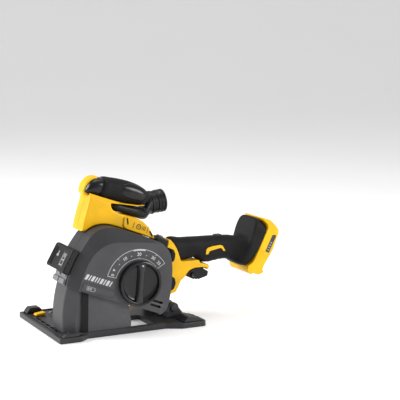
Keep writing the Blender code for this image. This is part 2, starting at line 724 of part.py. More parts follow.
def make_upper_housing():
    slot_and_hole = (("near", HOUSING_Y[0], BODY_SEAM_Y - GAP / 2),
                     ("far", BODY_SEAM_Y + GAP / 2, HOUSING_Y[1]))
    hole = tool_box("duct_hole", (-142, -114), (-32, -6), (116, 126))
    slot = tool_box("duct_slot", DUST_SLOT_U, DUST_SLOT_Y, (95, 105))
    for side, low, high in slot_and_hole:
        half = slab(f"upper_housing_{side}", [tool_outline(housing_outline())], low, high, YELLOW)
        room_low = low + GUARD_WALL if side == "near" else low - 2
        room_high = high + 2 if side == "near" else high - GUARD_WALL
        combine(half, slab(f"housing_room_{side}", [tool_outline(housing_cavity())],
                           room_low, room_high, None))
        share_cutter(half, hole)
        share_cutter(half, slot)
    for cutter in (hole, slot):
        cutter.name = "cutter_" + cutter.name
        cutter.hide_render = True
        cutter.display_type = "WIRE"
        PARTS.objects.unlink(cutter)
        CUTTERS.objects.link(cutter)


def frame_outline():
    """Yellow frame behind the guard: collar, block, and the strip over the trigger."""
    return level_outline([
        (-3.2, 132), (-2.6, 139.5), (1, 139.5), (11, 131.7), (17.7, 120), (20.5, 107.7), (21.4, 99.8),
        (55.6, 99.3), (56.8, 94), (74.8, 89.5), (73.4, 81.1), (70.6, 81.4), (69.4, 85),
        (62, 86.6), (47, 86.4), (37, 83.4), (31, 77), (27, 71), (21, 67.5), (16, 56.4),
        (11, 48.2), (-4, 44), (-13, 50), (-12, 70), (-10, 96), (-9.5, 112), (-6.2, 124)])


TRIGGER_PIN = (62.0, 89.5)


def make_handle_frame():
    sides = (("near", HANDLE_Y[0], BODY_SEAM_Y - GAP / 2),
             ("far", BODY_SEAM_Y + GAP / 2, HANDLE_Y[1]))
    pin = (TRIGGER_PIN[0] + PIVOT_X, TRIGGER_PIN[1])
    for side, low, high in sides:
        half = slab(f"handle_frame_{side}", [frame_outline()], low, high, YELLOW)
        combine(half, box(f"trigger_room_{side}", (32 + PIVOT_X, -31.6, 60),
                          (71.2 + PIVOT_X, -8.4, 96.2)))
        combine(half, rod(f"trigger_pin_way_{side}", pin, 1.8, -37, -3, sides=16))
        combine(half, box(f"wire_way_{side}", (6 + PIVOT_X, -30, 102), (26 + PIVOT_X, -10, 126)))


# ================================================================ handle and foot
def handle_sections(inset=0.0):
    """Rings of the rear handle, from the collar to the flare in front of the battery foot."""
    rows = [((22.2, 100.2), (21.2, 135.6), 18.5), ((40, 99.8), (40, 136.4), 18.0),
            ((56.2, 99.8), (56, 136.6), 17.6), ((60.6, 95.6), (62, 136.8), 17.4),
            ((76, 92.6), (80, 136.6), 17.2), ((100, 91.8), (102, 136.2), 17.4),
            ((117, 91), (119, 136.2), 18.0), ((126, 88.6), (129, 138.4), 20.5),
            ((134, 85.6), (138, 147), 25.0), ((142, 85.4), (147, 161.4), 29.0),
            ((152, 91.2), (158, 163), 30.5), ((160.6, 106), (170, 157.8), 30.0),
            ((168.8, 122.6), (178.4, 150.6), 27.0)]
    rings = []
    for low, high, half_width in rows:
        rings.append(oval_section((low[0] + PIVOT_X, low[1]), (high[0] + PIVOT_X, high[1]),
                                  BODY_SEAM_Y, half_width, inset))
    return rings


def make_handle_grip():
    grip = loft("handle_grip", handle_sections(), RUBBER)
    inner = handle_sections(3.4)[:-3]
    opening = [(x - 6, y, z) for x, y, z in inner[0]]
    return combine(grip, loft("grip_room", [opening] + inner, None))


def make_electronics():
    soften(box("switch_module", (28 + PIVOT_X, -29, 106), (60 + PIVOT_X, -11, 128), BLACK), 1.0, 1)
    soften(box("control_module", (70 + PIVOT_X, -29, 104), (112 + PIVOT_X, -11, 126), GREY), 1.0, 1)


def foot_outline():
    inner = [(138.6, 82.4), (152.8, 88.4), (162.2, 105.6), (174.6, 130), (182.6, 147.2),
             (178.4, 154.6), (163.8, 163.4), (151, 166.2)]
    outer = [(150, 170), (172, 165.5), (188, 159), (200, 145.5), (205, 139.7), (192.3, 107),
             (176.3, 83.3), (171.4, 75), (174.5, 69), (166.4, 65.5), (154.4, 67.6), (151.3, 70.6),
             (142.4, 67), (130.4, 73.5), (126.4, 81), (124, 86)]
    return level_outline(inner + outer)


RAIL_TOP = (205.0, 139.7)
RAIL_BOTTOM = (171.4, 75.0)


def foot_point(along, depth):
    """A point by distance up the rear face of the foot, and depth in from it."""
    top, bottom = Vector(RAIL_TOP), Vector(RAIL_BOTTOM)
    up = (top - bottom).normalized()
    inward = Vector((-up.y, up.x))
    point = bottom + up * along + inward * depth
    return (point.x + PIVOT_X, point.y)


def make_battery_foot():
    foot = slab("battery_foot", [foot_outline()], FOOT_Y[0], FOOT_Y[1], YELLOW)
    slot = [foot_point(-14, -8), foot_point(66, -8), foot_point(66, 11), foot_point(-14, 11)]
    combine(foot, slab("battery_slot", [slot], FOOT_Y[0] + 8, FOOT_Y[1] - 8, None))
    block = [foot_point(18, 10.7), foot_point(60, 10.7), foot_point(60, 3), foot_point(18, 3)]
    slab("terminal_block", [block], -36, -4, BLACK)
    return soften(foot, 1.6, segments=1, angle=50)


def make_handle_inlay():
    """Yellow insert let into the near side of the handle."""
    outline = [(68, 114), (69, 116.4), (97, 121.6), (99.6, 120.6), (102.8, 117.2), (101, 115.4),
               (96, 117.6), (72, 113), (70, 107.8), (68.4, 107.8)]
    return slab("handle_inlay", [level_outline(outline)], -39.2, -37.6, YELLOW)


# ================================================================ trigger and locks
def make_trigger():
    pin = (TRIGGER_PIN[0] + PIVOT_X, TRIGGER_PIN[1])
    outline = level_outline([(36, 71), (37.5, 77), (42, 81), (48, 83.6), (55, 85), (57.6, 88),
                             (58, 91.5), (60.5, 93.2), (63.5, 93.2), (66.2, 91.2), (66.6, 84),
                             (70, 80.4), (77.5, 76.2), (76, 68), (60, 64), (46, 66)])
    trigger = slab("trigger", [outline], -31, -9, BLACK)
    combine(trigger, rod("trigger_bore", pin, 1.9, -40, 0, sides=20))
    combine(trigger, box("spring_room", (54 + PIVOT_X, -33, 85.4), (70 + PIVOT_X, -25.4, 97)))
    combine(trigger, rod("lock_off_way", (47 + PIVOT_X, 73), 4.3, -40, 0, sides=28))
    set_origin(trigger, pin[0], BODY_SEAM_Y, pin[1])
    rod("trigger_pin", pin, 1.5, -36.6, -3.4, STEEL, sides=16)
    coil("trigger_spring", pin, 2.7, 0.4, -30.8, -26.2, 4, STEEL)
    lock = turned("lock_off_button", [(0, 15), (4, 15), (4, -14), (3.2, -15), (0, -15)],
                  (47 + PIVOT_X, BODY_SEAM_Y, 73), BLACK, steps=28)
    return trigger, lock


def make_depth_dial():
    x, z = tool(*DIAL_UV)
    back = GUARD_FACE_Y[0] - GAP
    profile = [(0, back + 3.7), (5.9, back + 3.7), (5.9, back), (DIAL_RADIUS, back),
               (DIAL_RADIUS, back - 7.6), (DIAL_RADIUS - 1.2, back - 8.8), (31.5, back - 8.8),
               (30, back - 3.4), (0, back - 3.4)]
    dial = turned("depth_dial", profile, (x, 0, z), BLACK, steps=48)
    bar = slab("dial_bar", [capsule((x - 2.6, z - 28.4), (x + 2.6, z + 28.4), 4.4, 7)],
               back - 10.2, back - 3.0, None)
    combine(dial, bar, "UNION")
    steps, start = 30, math.radians(-60)
    cam = [(x, z)]
    for i in range(steps + 1):
        angle = start + math.radians(300) * i / steps
        radius = 9 + 12 * i / steps
        cam.append((x + radius * math.cos(angle), z + radius * math.sin(angle)))
    cam[0] = (x + 4 * math.cos(start - 0.5), z + 4 * math.sin(start - 0.5))
    slab("depth_cam", [cam], GUARD_FACE_Y[0] + 3.8, GUARD_FACE_Y[0] + 6.8, STEEL)
    return dial


def make_latch():
    """Block on the front of the guard that slides sideways to free the plunge."""
    inner = arc((0, 0), GUARD_RIM_RADIUS + 0.6, 168.2, 179.2, 5)
    outer = [(-220.5, 3.2), (-222, 14), (-220.5, 29), (-216, 40), (-209.5, 44.4)]
    latch = slab("latch_slider", [tool_outline(inner + outer)], -70, 6, BLACK)
    return soften(latch, 1.5, segments=1, angle=50)


def make_spindle_lock():
    seat_line = [(-67.6, 97.4), (-67.6, 103.5), (-58, 105), (-46.5, 104.5), (-43.6, 99),
                 (-44.5, 92), (-49, 84.5), (-54.9, 90.2), (-64.2, 96.9)]
    seat = slab("lock_seat", [tool_outline(seat_line)], -44, -12, BLACK)
    up = (math.sin(REST_ANGLE), 0, math.cos(REST_ANGLE))
    x, z = tool(-56, 0)
    foot = (x, -28, z)
    way = turned("button_way", [(0, 120), (6.4, 120), (6.4, 97.5), (0, 97.5)], foot, None,
                 direction=up, steps=28)
    combine(seat, way)
    button = [(0, 108.4), (5.2, 108.4), (6, 107.6), (6, 101.2), (0, 101.2)]
    return turned("spindle_lock_button", button, foot, GREY, direction=up, steps=28)


# ================================================================ front grip and dust outlet
def grip_sections(rows, inset=0.0):
    rings = []
    for u, low, high, half_width in rows:
        rings.append(oval_section(tool(u, low), tool(u, high), BODY_SEAM_Y, half_width, inset))
    return rings


def make_front_grip():
    core = [(-213, 134), (-214.5, 139.2), (-112, 139.2), (-118, 135.8), (-132, 133.6),
            (-211, 133.5)]
    slab("front_grip_core", [tool_outline(core)], -38, -2, YELLOW)
    sleeve = [(-217, 142, 152, 12), (-216, 140, 155, 16), (-213, 139.6, 158.5, 19),
              (-205, 139.5, 161.5, 20.5), (-192.4, 139.5, 164, 21)]
    loft("grip_end_sleeve", grip_sections(sleeve), BLACK)
    dome = [(-192, 139.5, 164.2, 21), (-175, 139.5, 168, 21.5), (-155, 139.5, 172.5, 22),
            (-135, 139.5, 175.5, 22.5), (-121, 139.5, 175.8, 21.5), (-110, 141.5, 173, 19),
            (-103, 145, 168.5, 14.5), (-99.6, 150, 163, 8)]
    return loft("grip_dome", grip_sections(dome), RUBBER)


def port_frame(distance):
    """Centre of the dust port at a distance along its axis, as (u, v)."""
    return (PORT_START_UV[0] + distance * math.cos(PORT_TILT),
            PORT_START_UV[1] + distance * math.sin(PORT_TILT))


def port_ring(distance, radius):
    u, v = port_frame(distance)
    du, dv = -math.sin(PORT_TILT) * radius, math.cos(PORT_TILT) * radius
    return oval_section(tool(u - du, v - dv), tool(u + du, v + dv), 0.0, radius, power=2.0)


PORT_SPLIT = 12.0
PORT_LENGTH = 27.0


def make_dust_outlet():
    duct = [(-150, 122.5, 132.8, -19, 17), (-130, 122.5, 133, -19, 17.5), (-106, 122.6, 133, -15, 18)]
    rings = [oval_section(tool(u, low), tool(u, high), y, half) for u, low, high, y, half in duct]
    rings.append(oval_section(tool(-86, 123.5), tool(-97.2, 137), -6, 18.5))
    rings += [port_ring(0, PORT_RADIUS), port_ring(PORT_SPLIT, PORT_RADIUS)]
    elbow = loft("dust_elbow", rings, BLACK)
    inner = [oval_section(tool(u, low), tool(u, high), y, half, 2.0)
             for u, low, high, y, half in duct]
    inner[0] = oval_section(tool(-147.5, 122.5), tool(-147.5, 132.8), -19, 17, 2.0)
    inner.append(oval_section(tool(-86, 123.5), tool(-97.2, 137), -6, 18.5, 2.2))
    inner += [port_ring(0, PORT_RADIUS - 2.5), port_ring(PORT_SPLIT + 2, PORT_RADIUS - 2.5)]
    combine(elbow, loft("elbow_room", inner, None))
    combine(elbow, tool_box("elbow_mouth", (-141, -115), (-31, -7), (120, 128)))
    axis = (math.cos(REST_ANGLE - PORT_TILT), 0, -math.sin(REST_ANGLE - PORT_TILT))
    x, z = tool(*PORT_START_UV)
    cuff = [(PORT_RADIUS - 2.5, PORT_LENGTH), (PORT_RADIUS - 0.4, PORT_LENGTH),
            (PORT_RADIUS + 0.6, PORT_LENGTH - 1), (PORT_RADIUS + 0.6, PORT_SPLIT + GAP),
            (PORT_RADIUS - 2.5, PORT_SPLIT + GAP)]
    return turned("dust_cuff", cuff, (x, 0, z), BLACK, direction=axis)


# ================================================================ build
make_shoe_plate()
make_lower_guard()
make_shoe_hinge()
make_hinge_pin()
make_corner_pads()
make_cut_marker()
make_guard()
make_name_plate()
make_lock_plate()
make_bumpers()
make_gears()
make_gear_case()
make_gear_cover()
make_motor()
make_fan()
make_bearings()
make_spindle()
make_blades()
make_pivot_bracket()
coil("plunge_spring", level(0, 0), 10.4, 1.0, -32, -8, 5, STEEL)
make_upper_housing()
make_handle_frame()
make_handle_grip()
make_electronics()
make_battery_foot()
make_handle_inlay()
make_trigger()
make_depth_dial()
make_latch()
make_spindle_lock()
make_front_grip()
make_dust_outlet()

for part in PARTS.objects:
    part.data.shade_smooth()
    if len(part.data.polygons):
        part.data.set_sharp_from_angle(angle=math.radians(35))
print("parts:", len(PARTS.objects))
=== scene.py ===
# %% [markdown]
# # A wall chaser, from solid model to finished tool
# A wall chaser cuts a slot for pipes or cables with two diamond blades on one spindle. This
# lesson starts from the maker's solid model, which already has the right size and joints, and
# gives each visible part the rounded edges, seams, grips and finishes that a moulded tool has.
# Every length below is in millimetres until a mesh is made.
# %% Load the solid model
import json
import math

import bmesh
import bpy
import numpy as np
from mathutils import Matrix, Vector
from mathutils.geometry import delaunay_2d_cdt

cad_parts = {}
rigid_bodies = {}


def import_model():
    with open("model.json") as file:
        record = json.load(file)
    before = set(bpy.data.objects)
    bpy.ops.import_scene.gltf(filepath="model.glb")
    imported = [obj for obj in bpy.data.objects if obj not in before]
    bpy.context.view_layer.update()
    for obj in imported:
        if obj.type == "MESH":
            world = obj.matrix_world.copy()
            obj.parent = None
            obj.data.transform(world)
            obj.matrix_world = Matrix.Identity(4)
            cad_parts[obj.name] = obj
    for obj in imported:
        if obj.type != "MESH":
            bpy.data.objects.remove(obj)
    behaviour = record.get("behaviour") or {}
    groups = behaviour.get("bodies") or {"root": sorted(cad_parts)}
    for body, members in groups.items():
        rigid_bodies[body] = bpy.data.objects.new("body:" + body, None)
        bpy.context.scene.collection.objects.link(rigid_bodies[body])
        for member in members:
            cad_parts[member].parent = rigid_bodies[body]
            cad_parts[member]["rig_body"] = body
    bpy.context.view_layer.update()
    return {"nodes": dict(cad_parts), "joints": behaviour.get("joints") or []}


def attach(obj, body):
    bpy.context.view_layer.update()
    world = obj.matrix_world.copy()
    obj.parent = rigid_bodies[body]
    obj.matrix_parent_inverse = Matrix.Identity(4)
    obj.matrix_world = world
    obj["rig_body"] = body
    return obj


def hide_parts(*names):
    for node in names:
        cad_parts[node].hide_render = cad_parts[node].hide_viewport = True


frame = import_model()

# %% [markdown]
# ## Where things are
# The tool turns on a pin at the back of its shoe, and rests tipped up. Places on the tool are
# easiest to give as (u, v), measured from that pin along the untipped tool. Places on the shoe
# are given as x from the pin and z above the floor. The pin, the tip angle and the centres of
# the dial and the spindle are read from the joints, so nothing has to be fitted by eye.
# %% Frames of the tool and the shoe
MM = 0.001
JOINTS = {joint["name"]: joint for joint in frame["joints"]}


def joint_place(name):
    """Where a joint is, in millimetres, as (x, z)."""
    x, _, z = JOINTS[name]["pos_m"]
    return np.array([x, z]) / MM


PIVOT = joint_place("plunge_hinge")
TIP = math.radians(JOINTS["plunge_hinge"]["range_deg"][1])
TIP_COS, TIP_SIN = math.cos(TIP), math.sin(TIP)
SPINDLE, MOTOR, DIAL = (joint_place(n) for n in ("spindle_spin", "rotor_spin", "depth_dial_turn"))
# Depths of the handle's seam, the guard's seam, the guard's near face and its near rim.
SEAM_Y, GUARD_SEAM_Y, FACE_Y, RIM_Y = -20.0, -42.0, -88.0, -71.0


def tool(points):
    """(u, v) points turned by the tip angle, x = u cos + v sin and z = v cos - u sin, and moved
    to the pin."""
    p = np.asarray(points, float)
    u, v = p[..., 0], p[..., 1]
    return np.stack([u * TIP_COS + v * TIP_SIN, v * TIP_COS - u * TIP_SIN], -1) + PIVOT


def level(points):
    """(x, z) points moved along to the pin; z stays the height above the floor."""
    return np.asarray(points, float) + [PIVOT[0], 0.0]


print("pin at", PIVOT, "tipped up by", round(math.degrees(TIP), 1), "degrees")

# %% [markdown]
# ## Lines
# Moulded parts have two kinds of outline: smooth curves through a few points, and straight
# sides with rounded corners. Both are worked out as whole arrays, and an outline moved inwards
# by a set distance gives the rounded edge between a side and a face.
# %% Outlines as arrays
def arc(centre, radius, start, end, count):
    """centre + radius (cos a, sin a), with a going evenly from start to end degrees."""
    a = np.radians(np.linspace(start, end, count))
    return np.asarray(centre, float) + radius * np.stack([np.cos(a), np.sin(a)], -1)


def length(vectors):
    """The square root of the sum of squares along the last axis, never quite zero."""
    return np.maximum(np.linalg.norm(vectors, axis=-1, keepdims=True), 1e-9)


def spline(points, per=6, closed=True, crisp=()):
    """A cubic between each two points, a(1-t)^2(1+2t) + b t^2(3-2t) plus the end slopes. The slope
    at a point weighs the directions either side by the other side's length, so points on a circle
    keep to it. A crisp point keeps one slope on each side."""
    p = np.asarray(points, float)
    ahead = np.roll(p, -1, 0) - p
    if not closed:
        ahead[-1] = ahead[-2]
    back = np.roll(ahead, 1, 0)
    if not closed:
        back[0] = ahead[0]
    la, lb = length(ahead), length(back)
    way = ahead / la * lb + back / lb * la
    way = way / length(way)
    leave, arrive = way * la, way * lb
    for i in crisp:
        leave[i], arrive[i] = ahead[i], back[i]
    t = (np.arange(per) / per).reshape((1, per) + (1,) * (p.ndim - 1))
    a, b = p[:, None], np.roll(p, -1, 0)[:, None]
    m, n = leave[:, None], np.roll(arrive, -1, 0)[:, None]
    line = (a * (1 + 2 * t) * (1 - t) ** 2 + m * t * (1 - t) ** 2
            + b * t * t * (3 - 2 * t) + n * t * t * (t - 1)).reshape((-1,) + p.shape[1:])
    return line if closed else np.concatenate([line[:(len(p) - 1) * per], p[-1:]])


def area(loop):
    """Half the sum of x times the next z less z times the next x; above zero anticlockwise."""
    x, z = loop[:, 0], loop[:, 1]
    return 0.5 * np.sum(x * np.roll(z, -1) - z * np.roll(x, -1))


def inset(loop, distance, closed=True):
    """Each point moves to its left by distance / (1 + cos of the bend), times the sum of the two
    side normals, which keeps every side parallel. Clockwise loops are measured to their right."""
    p = np.asarray(loop, float)
    side = np.roll(p, -1, 0) - p
    if not closed:
        side[-1] = side[-2]
    side = side / length(side)
    before = np.roll(side, 1, 0)
    if not closed:
        before[0] = side[0]
    turn = 1.0 if area(p) > 0 else -1.0
    n1, n2 = (turn * np.stack([-s[:, 1], s[:, 0]], -1) for s in (before, side))
    bend = np.sum(n1 * n2, -1, keepdims=True)
    moved = p + distance * (n1 + n2) / np.maximum(1 + bend, 0.5)
    return untangled(p, moved, distance) if closed and distance > 0.3 else moved


def untangled(loop, moved, distance):
    """Where an inset folds over itself, a point lies closer to the outline than the distance.
    Such points are put back in line between the sound ones on either side."""
    way = np.roll(loop, -1, 0) - loop
    gap = moved[:, None] - loop[None]
    share = np.clip((gap * way).sum(-1) / np.maximum((way * way).sum(-1), 1e-12), 0, 1)
    near = np.linalg.norm(gap - share[..., None] * way, axis=-1).min(1)
    sound, k = near > 0.985 * distance, np.arange(len(loop))
    if sound.all() or sound.sum() < 4:
        return moved
    return np.stack([np.interp(k, k[sound], moved[sound, i], period=len(loop)) for i in (0, 1)], -1)


def fillet(loop, radius, steps=5):
    """Each corner b of a closed outline becomes (1-t)^2 a + 2t(1-t) b + t^2 c, where a and c lie
    on its sides at the radius, or at 45% of a short side."""
    b = np.asarray(loop, float)
    back, ahead = np.roll(b, 1, 0) - b, np.roll(b, -1, 0) - b
    a = b + back / length(back) * np.minimum(radius, 0.45 * length(back))
    c = b + ahead / length(ahead) * np.minimum(radius, 0.45 * length(ahead))
    t = np.linspace(0, 1, steps + 1).reshape(1, -1, 1)
    curve = (1 - t) ** 2 * a[:, None] + 2 * t * (1 - t) * b[:, None] + t * t * c[:, None]
    return curve.reshape(-1, 2)


def capsule(first, second, radius, count=9):
    """Two half circles round the ends of a straight line."""
    first, second = np.asarray(first, float), np.asarray(second, float)
    turn = math.degrees(math.atan2(*(second - first)[::-1]))
    return np.concatenate([arc(second, radius, turn - 90, turn + 90, count),
                           arc(first, radius, turn + 90, turn + 270, count)])


print("a test circle through 8 points keeps its radius to",
      round(abs(np.linalg.norm(spline(arc((0, 0), 100, 0, 315, 8)), axis=1) - 100).max(), 2), "mm")

# %% [markdown]
# ## Skins
# A surface here is a stack of rings: point j of ring i is one vertex, and four neighbours make
# a face. Rounding the corners between rings, ring by ring, gives the soft edges of a moulding.
# %% Surfaces as stacks of rings
def at_y(loop, y):
    """An (x, z) outline stood at depth y."""
    loop = np.asarray(loop, float)
    return np.stack([loop[:, 0], np.full(len(loop), float(y)), loop[:, 1]], -1)


def at_z(loop, z):
    """An (x, y) outline laid at height z."""
    loop = np.asarray(loop, float)
    return np.stack([loop[:, 0], loop[:, 1], np.full(len(loop), float(z))], -1)


def rounded(rings, radii, steps=4):
    """Rounds the path that each point takes through the rings, at every ring but the end ones, with
    the same curve (1-t)^2 a + 2t(1-t) b + t^2 c as a fillet."""
    out = [rings[0]]
    for i, radius in enumerate(radii, 1):
        back, here, ahead = rings[i - 1] - rings[i], rings[i], rings[i + 1] - rings[i]
        a = here + back / length(back) * np.minimum(radius, 0.48 * length(back))
        c = here + ahead / length(ahead) * np.minimum(radius, 0.48 * length(ahead))
        for t in np.linspace(0, 1, steps + 1):
            out.append((1 - t) ** 2 * a + 2 * t * (1 - t) * here + t * t * c)
    return np.array(out + [rings[-1]])


def skin(rings, closed=True, caps=(True, True)):
    """Vertices are the rings one after another; face (i, j) joins points j and j+1 of rings i and
    i+1."""
    rings = np.asarray(rings, float)
    rows, columns = rings.shape[:2]
    i = np.arange(rows - 1)[:, None] * columns
    j = np.arange(columns if closed else columns - 1)[None, :]
    k = (j + 1) % columns
    faces = np.stack([i + j, i + k, i + columns + k, i + columns + j], -1).reshape(-1, 4).tolist()
    if caps[0]:
        faces.append(list(range(columns))[::-1])
    if caps[1]:
        faces.append(list(range((rows - 1) * columns, rows * columns)))
    return rings.reshape(-1, 3), faces


def merge(*surfaces):
    """One surface out of several: each one's faces count on from the vertices before."""
    starts = np.cumsum([0] + [len(points) for points, _ in surfaces])
    faces = [[v + int(start) for v in face]
             for start, (_, own) in zip(starts, surfaces) for face in own]
    return np.concatenate([points for points, _ in surfaces]), faces


def pad(loop, low, high, edge=1.0, high_edge=None, lay=at_y, seam=0.6):
    """A block: the outline from low to high, with its rims rounded to faces a little inside."""
    high_edge = edge if high_edge is None else high_edge
    rings = [lay(inset(loop, edge + seam), low), lay(loop, low), lay(loop, high),
             lay(inset(loop, high_edge + seam), high)]
    return skin(rounded(rings, (edge, high_edge)))


def inside(spots, loops):
    """Whether a line from each spot towards +x crosses the outlines an odd number of times."""
    x, z = spots.T[:, :, None]
    x1, z1 = np.concatenate(loops).T
    x2, z2 = np.concatenate([np.roll(loop, -1, 0) for loop in loops]).T
    across = x1 + (z - z1) * (x2 - x1) / np.where(z2 == z1, 1.0, z2 - z1)
    return (((z1 > z) != (z2 > z)) & (x < across)).sum(1) % 2 == 1


def flat(loops, level_at, lay=at_y, spacing=9.0):
    """A flat face with holes, cut into triangles between its outlines and a grid of points."""
    edges, start = [], 0
    for loop in loops:
        edges += [(start + k, start + (k + 1) % len(loop)) for k in range(len(loop))]
        start += len(loop)
    low, high = loops[0].min(0), loops[0].max(0)
    lines = [np.arange(a, b, spacing) for a, b in zip(low, high)]
    grid = np.stack(np.meshgrid(*lines), -1).reshape(-1, 2)
    points = np.concatenate([*loops, grid[inside(grid, loops)]])
    made = delaunay_2d_cdt([Vector(p) for p in points], edges, [], 0, 1e-5)
    spots = np.array([tuple(p) for p in made[0]])
    triangles = np.array([list(face) for face in made[2]])
    kept = triangles[inside(spots[triangles].mean(1), loops)]
    return lay(spots, level_at), kept.tolist()


def tube(rings):
    """A skin with both ends left open."""
    return skin(rings, caps=(False, False))


def turn(profile, centre, axis=(0, 1, 0), steps=64, ripple=None):
    """A (radius, height) profile turned about an axis: centre + height axis + radius (cos a side +
    sin a up). A ripple, a function of the angle and the profile point, is added to the radius."""
    axis = np.asarray(axis, float) / np.linalg.norm(axis)
    side = np.cross(axis, (0.0, 1.0, 0.0) if abs(axis[1]) < 0.9 else (1.0, 0.0, 0.0))
    side /= np.linalg.norm(side)
    up = np.cross(axis, side)
    radius, height = np.asarray(profile, float).T[:, :, None]
    a = np.linspace(0, 2 * math.pi, steps, endpoint=False)[None, :]
    if ripple is not None:
        radius = radius + ripple(a, np.arange(len(profile))[:, None])
    radius = radius + 0 * a
    rings = (np.asarray(centre, float) + (height + 0 * a)[..., None] * axis
             + (radius * np.cos(a))[..., None] * side + (radius * np.sin(a))[..., None] * up)
    return tube(rings)


def oval_ring(bottom, top, y, half_width, power=2.6, count=64):
    """A rounded-box section: along = sign(sin) |sin|^(2/power), across likewise with cos."""
    bottom, top = np.asarray(bottom, float), np.asarray(top, float)
    middle, half = (bottom + top) / 2, (top - bottom) / 2
    t = np.linspace(0, 2 * math.pi, count, endpoint=False)
    a, b = np.cos(t), np.sin(t)
    across = np.sign(a) * np.abs(a) ** (2 / power) * half_width
    along = np.sign(b) * np.abs(b) ** (2 / power)
    return np.stack([middle[0] + half[0] * along, y + across, middle[1] + half[1] * along], -1)


points, faces = pad(arc((0, 0), 10, 0, 350, 36), 0, 5)
print("a test button has", len(points), "vertices and", len(faces), "faces")

# %% [markdown]
# ## Shader sums
# A material's pattern is a sum on numbers that vary over the surface. Wrapping a socket in a
# small class lets that sum be written as ordinary Python, and each operator adds a Math node.
# %% A socket that can be added and multiplied
class Signal:
    """A value in a shader. Arithmetic on it adds Math nodes."""

    def __init__(self, tree, socket):
        self.tree, self.socket = tree, socket

    def node(self, kind, settings=None, inputs=None, output=0):
        """Adds a node: settings first, with colour stops as (place, colour) pairs, then inputs."""
        made = self.tree.nodes.new(kind)
        for key, value in (settings or {}).items():
            if key == "stops":
                ramp = made.color_ramp
                while len(ramp.elements) < len(value):
                    ramp.elements.new(0.5)
                for stop, (place, colour) in zip(ramp.elements, value):
                    stop.position, stop.color = place, (*colour, 1.0)
            else:
                setattr(made, key, value)
        for key, value in (inputs or {}).items():
            if isinstance(value, Signal):
                self.tree.links.new(value.socket, made.inputs[key])
            else:
                made.inputs[key].default_value = value
        return Signal(self.tree, made.outputs[output])

    def math(self, operation, *values):
        """Adds a Math node that works on the values."""
        return self.node("ShaderNodeMath", {"operation": operation}, dict(enumerate(values)))

    def __add__(self, other): return self.math("ADD", self, other)
    def __sub__(self, other): return self.math("SUBTRACT", self, other)
    def __rsub__(self, other): return self.math("SUBTRACT", other, self)
    def __mul__(self, other): return self.math("MULTIPLY", self, other)
    __radd__, __rmul__ = __add__, __mul__

    def wave(self):
        """The sine of this signal."""
        return self.math("SINE", self)

    def step(self, start, end):
        """0 below start and 1 above end, smoothly."""
        return self.node("ShaderNodeMapRange", {"interpolation_type": "SMOOTHSTEP"},
                         {"Value": self, "From Min": start, "From Max": end})

    def noise(self, size, detail=3.0, rough=0.55, stretch=(1, 1, 1)):
        """Noise over this place signal whose lumps are about the size, in millimetres."""
        scaled = self.node("ShaderNodeMapping", None, {"Vector": self, "Scale": stretch})
        return self.node("ShaderNodeTexNoise", None, {"Vector": scaled, "Scale": 1 / (size * MM),
                                                      "Detail": detail, "Roughness": rough})

    def blend(self, first, second):
        """Mixes two colours by this signal."""
        return self.node("ShaderNodeMix", {"data_type": "RGBA"}, {0: self, 6: first, 7: second}, 2)


def start_finish(name):
    """A new material, its place signal (object coordinates) and its Principled shader."""
    material = bpy.data.materials.new(name)
    material.use_nodes = True
    tree = material.node_tree
    shader = tree.nodes["Principled BSDF"]
    place = Signal(tree, None).node("ShaderNodeTexCoord", output=3)
    return material, place, shader


def feed(shader, colour=None, roughness=None, bump=None, depth=0.05):
    """Links the pattern into the shader; the bump's depth is in millimetres."""
    for key, value in (("Base Color", colour), ("Roughness", roughness)):
        if value is not None:
            value.tree.links.new(value.socket, shader.inputs[key])
    if bump is not None:
        normal = bump.node("ShaderNodeBump", None, {"Height": bump, "Distance": depth * MM})
        bump.tree.links.new(normal.socket, shader.inputs["Normal"])


def shade(colour, factor):
    """The colour times the factor, no brighter than 1, with its fourth number."""
    return (*[min(c * factor, 1.0) for c in colour], 1.0)


print("sockets can now be added, multiplied, stepped and blended")

# %% [markdown]
# ## Moulded plastics
# Nylon housings come out of a spark-eroded mould, which leaves a fine even grain. The grain is
# a bump of well under a tenth of a millimetre. Large soft blotches vary the sheen, edges are
# painted lighter, partly wear where handling polishes them and partly a painted highlight where
# they catch the light, and a few thin scuffs run along the part.
# %% A plastic finish
def plastic(name, colour, rough, grain=0.7, depth=0.03, edge=1.35, scuff=0.5, coat=0.0,
            shine=0.16):
    """Colour times soft blotches, with edges painted lighter, partly wear and partly a painted
    highlight; roughness = base + grain + blotches - wear. Lengths are in millimetres; edge is how
    much lighter an edge is painted."""
    material, place, shader = start_finish(name)
    blotch = place.noise(38, 2.0)
    fine = place.noise(grain, 2.0, 0.6)
    scratches = place.noise(3.0, 2.0, 0.5, (0.06, 1, 1)).step(0.66, 0.72)
    scratches = scratches * place.noise(22, 1.0).step(0.5, 0.62)
    # Convex edges are painted lighter: partly wear, partly a painted highlight where edges catch
    # light.
    edge_wear_and_highlight = place.node("ShaderNodeNewGeometry", output="Pointiness").step(0.515, 0.60)
    edge_wear_and_highlight = edge_wear_and_highlight * (0.45 + place.noise(5, 2.0) * 0.8)
    body = blotch.step(0.3, 0.7).blend(shade(colour, 0.92), shade(colour, 1.07))
    body = fine.step(0.35, 0.7).blend(body, shade(colour, 1.10)) if grain > 0.9 else body
    body = (edge_wear_and_highlight * 0.55 + scratches * (0.3 * scuff)).blend(body, shade(colour, edge))
    feed(shader, body,
         rough + (blotch - 0.5) * 0.12 + (fine - 0.5) * 0.14 + scratches * (0.12 * scuff)
         - edge_wear_and_highlight * 0.06, fine + blotch * 0.15, depth)
    shader.inputs["Specular IOR Level"].default_value = shine
    shader.inputs["Coat Weight"].default_value = coat
    shader.inputs["Coat Roughness"].default_value = 0.18
    return material


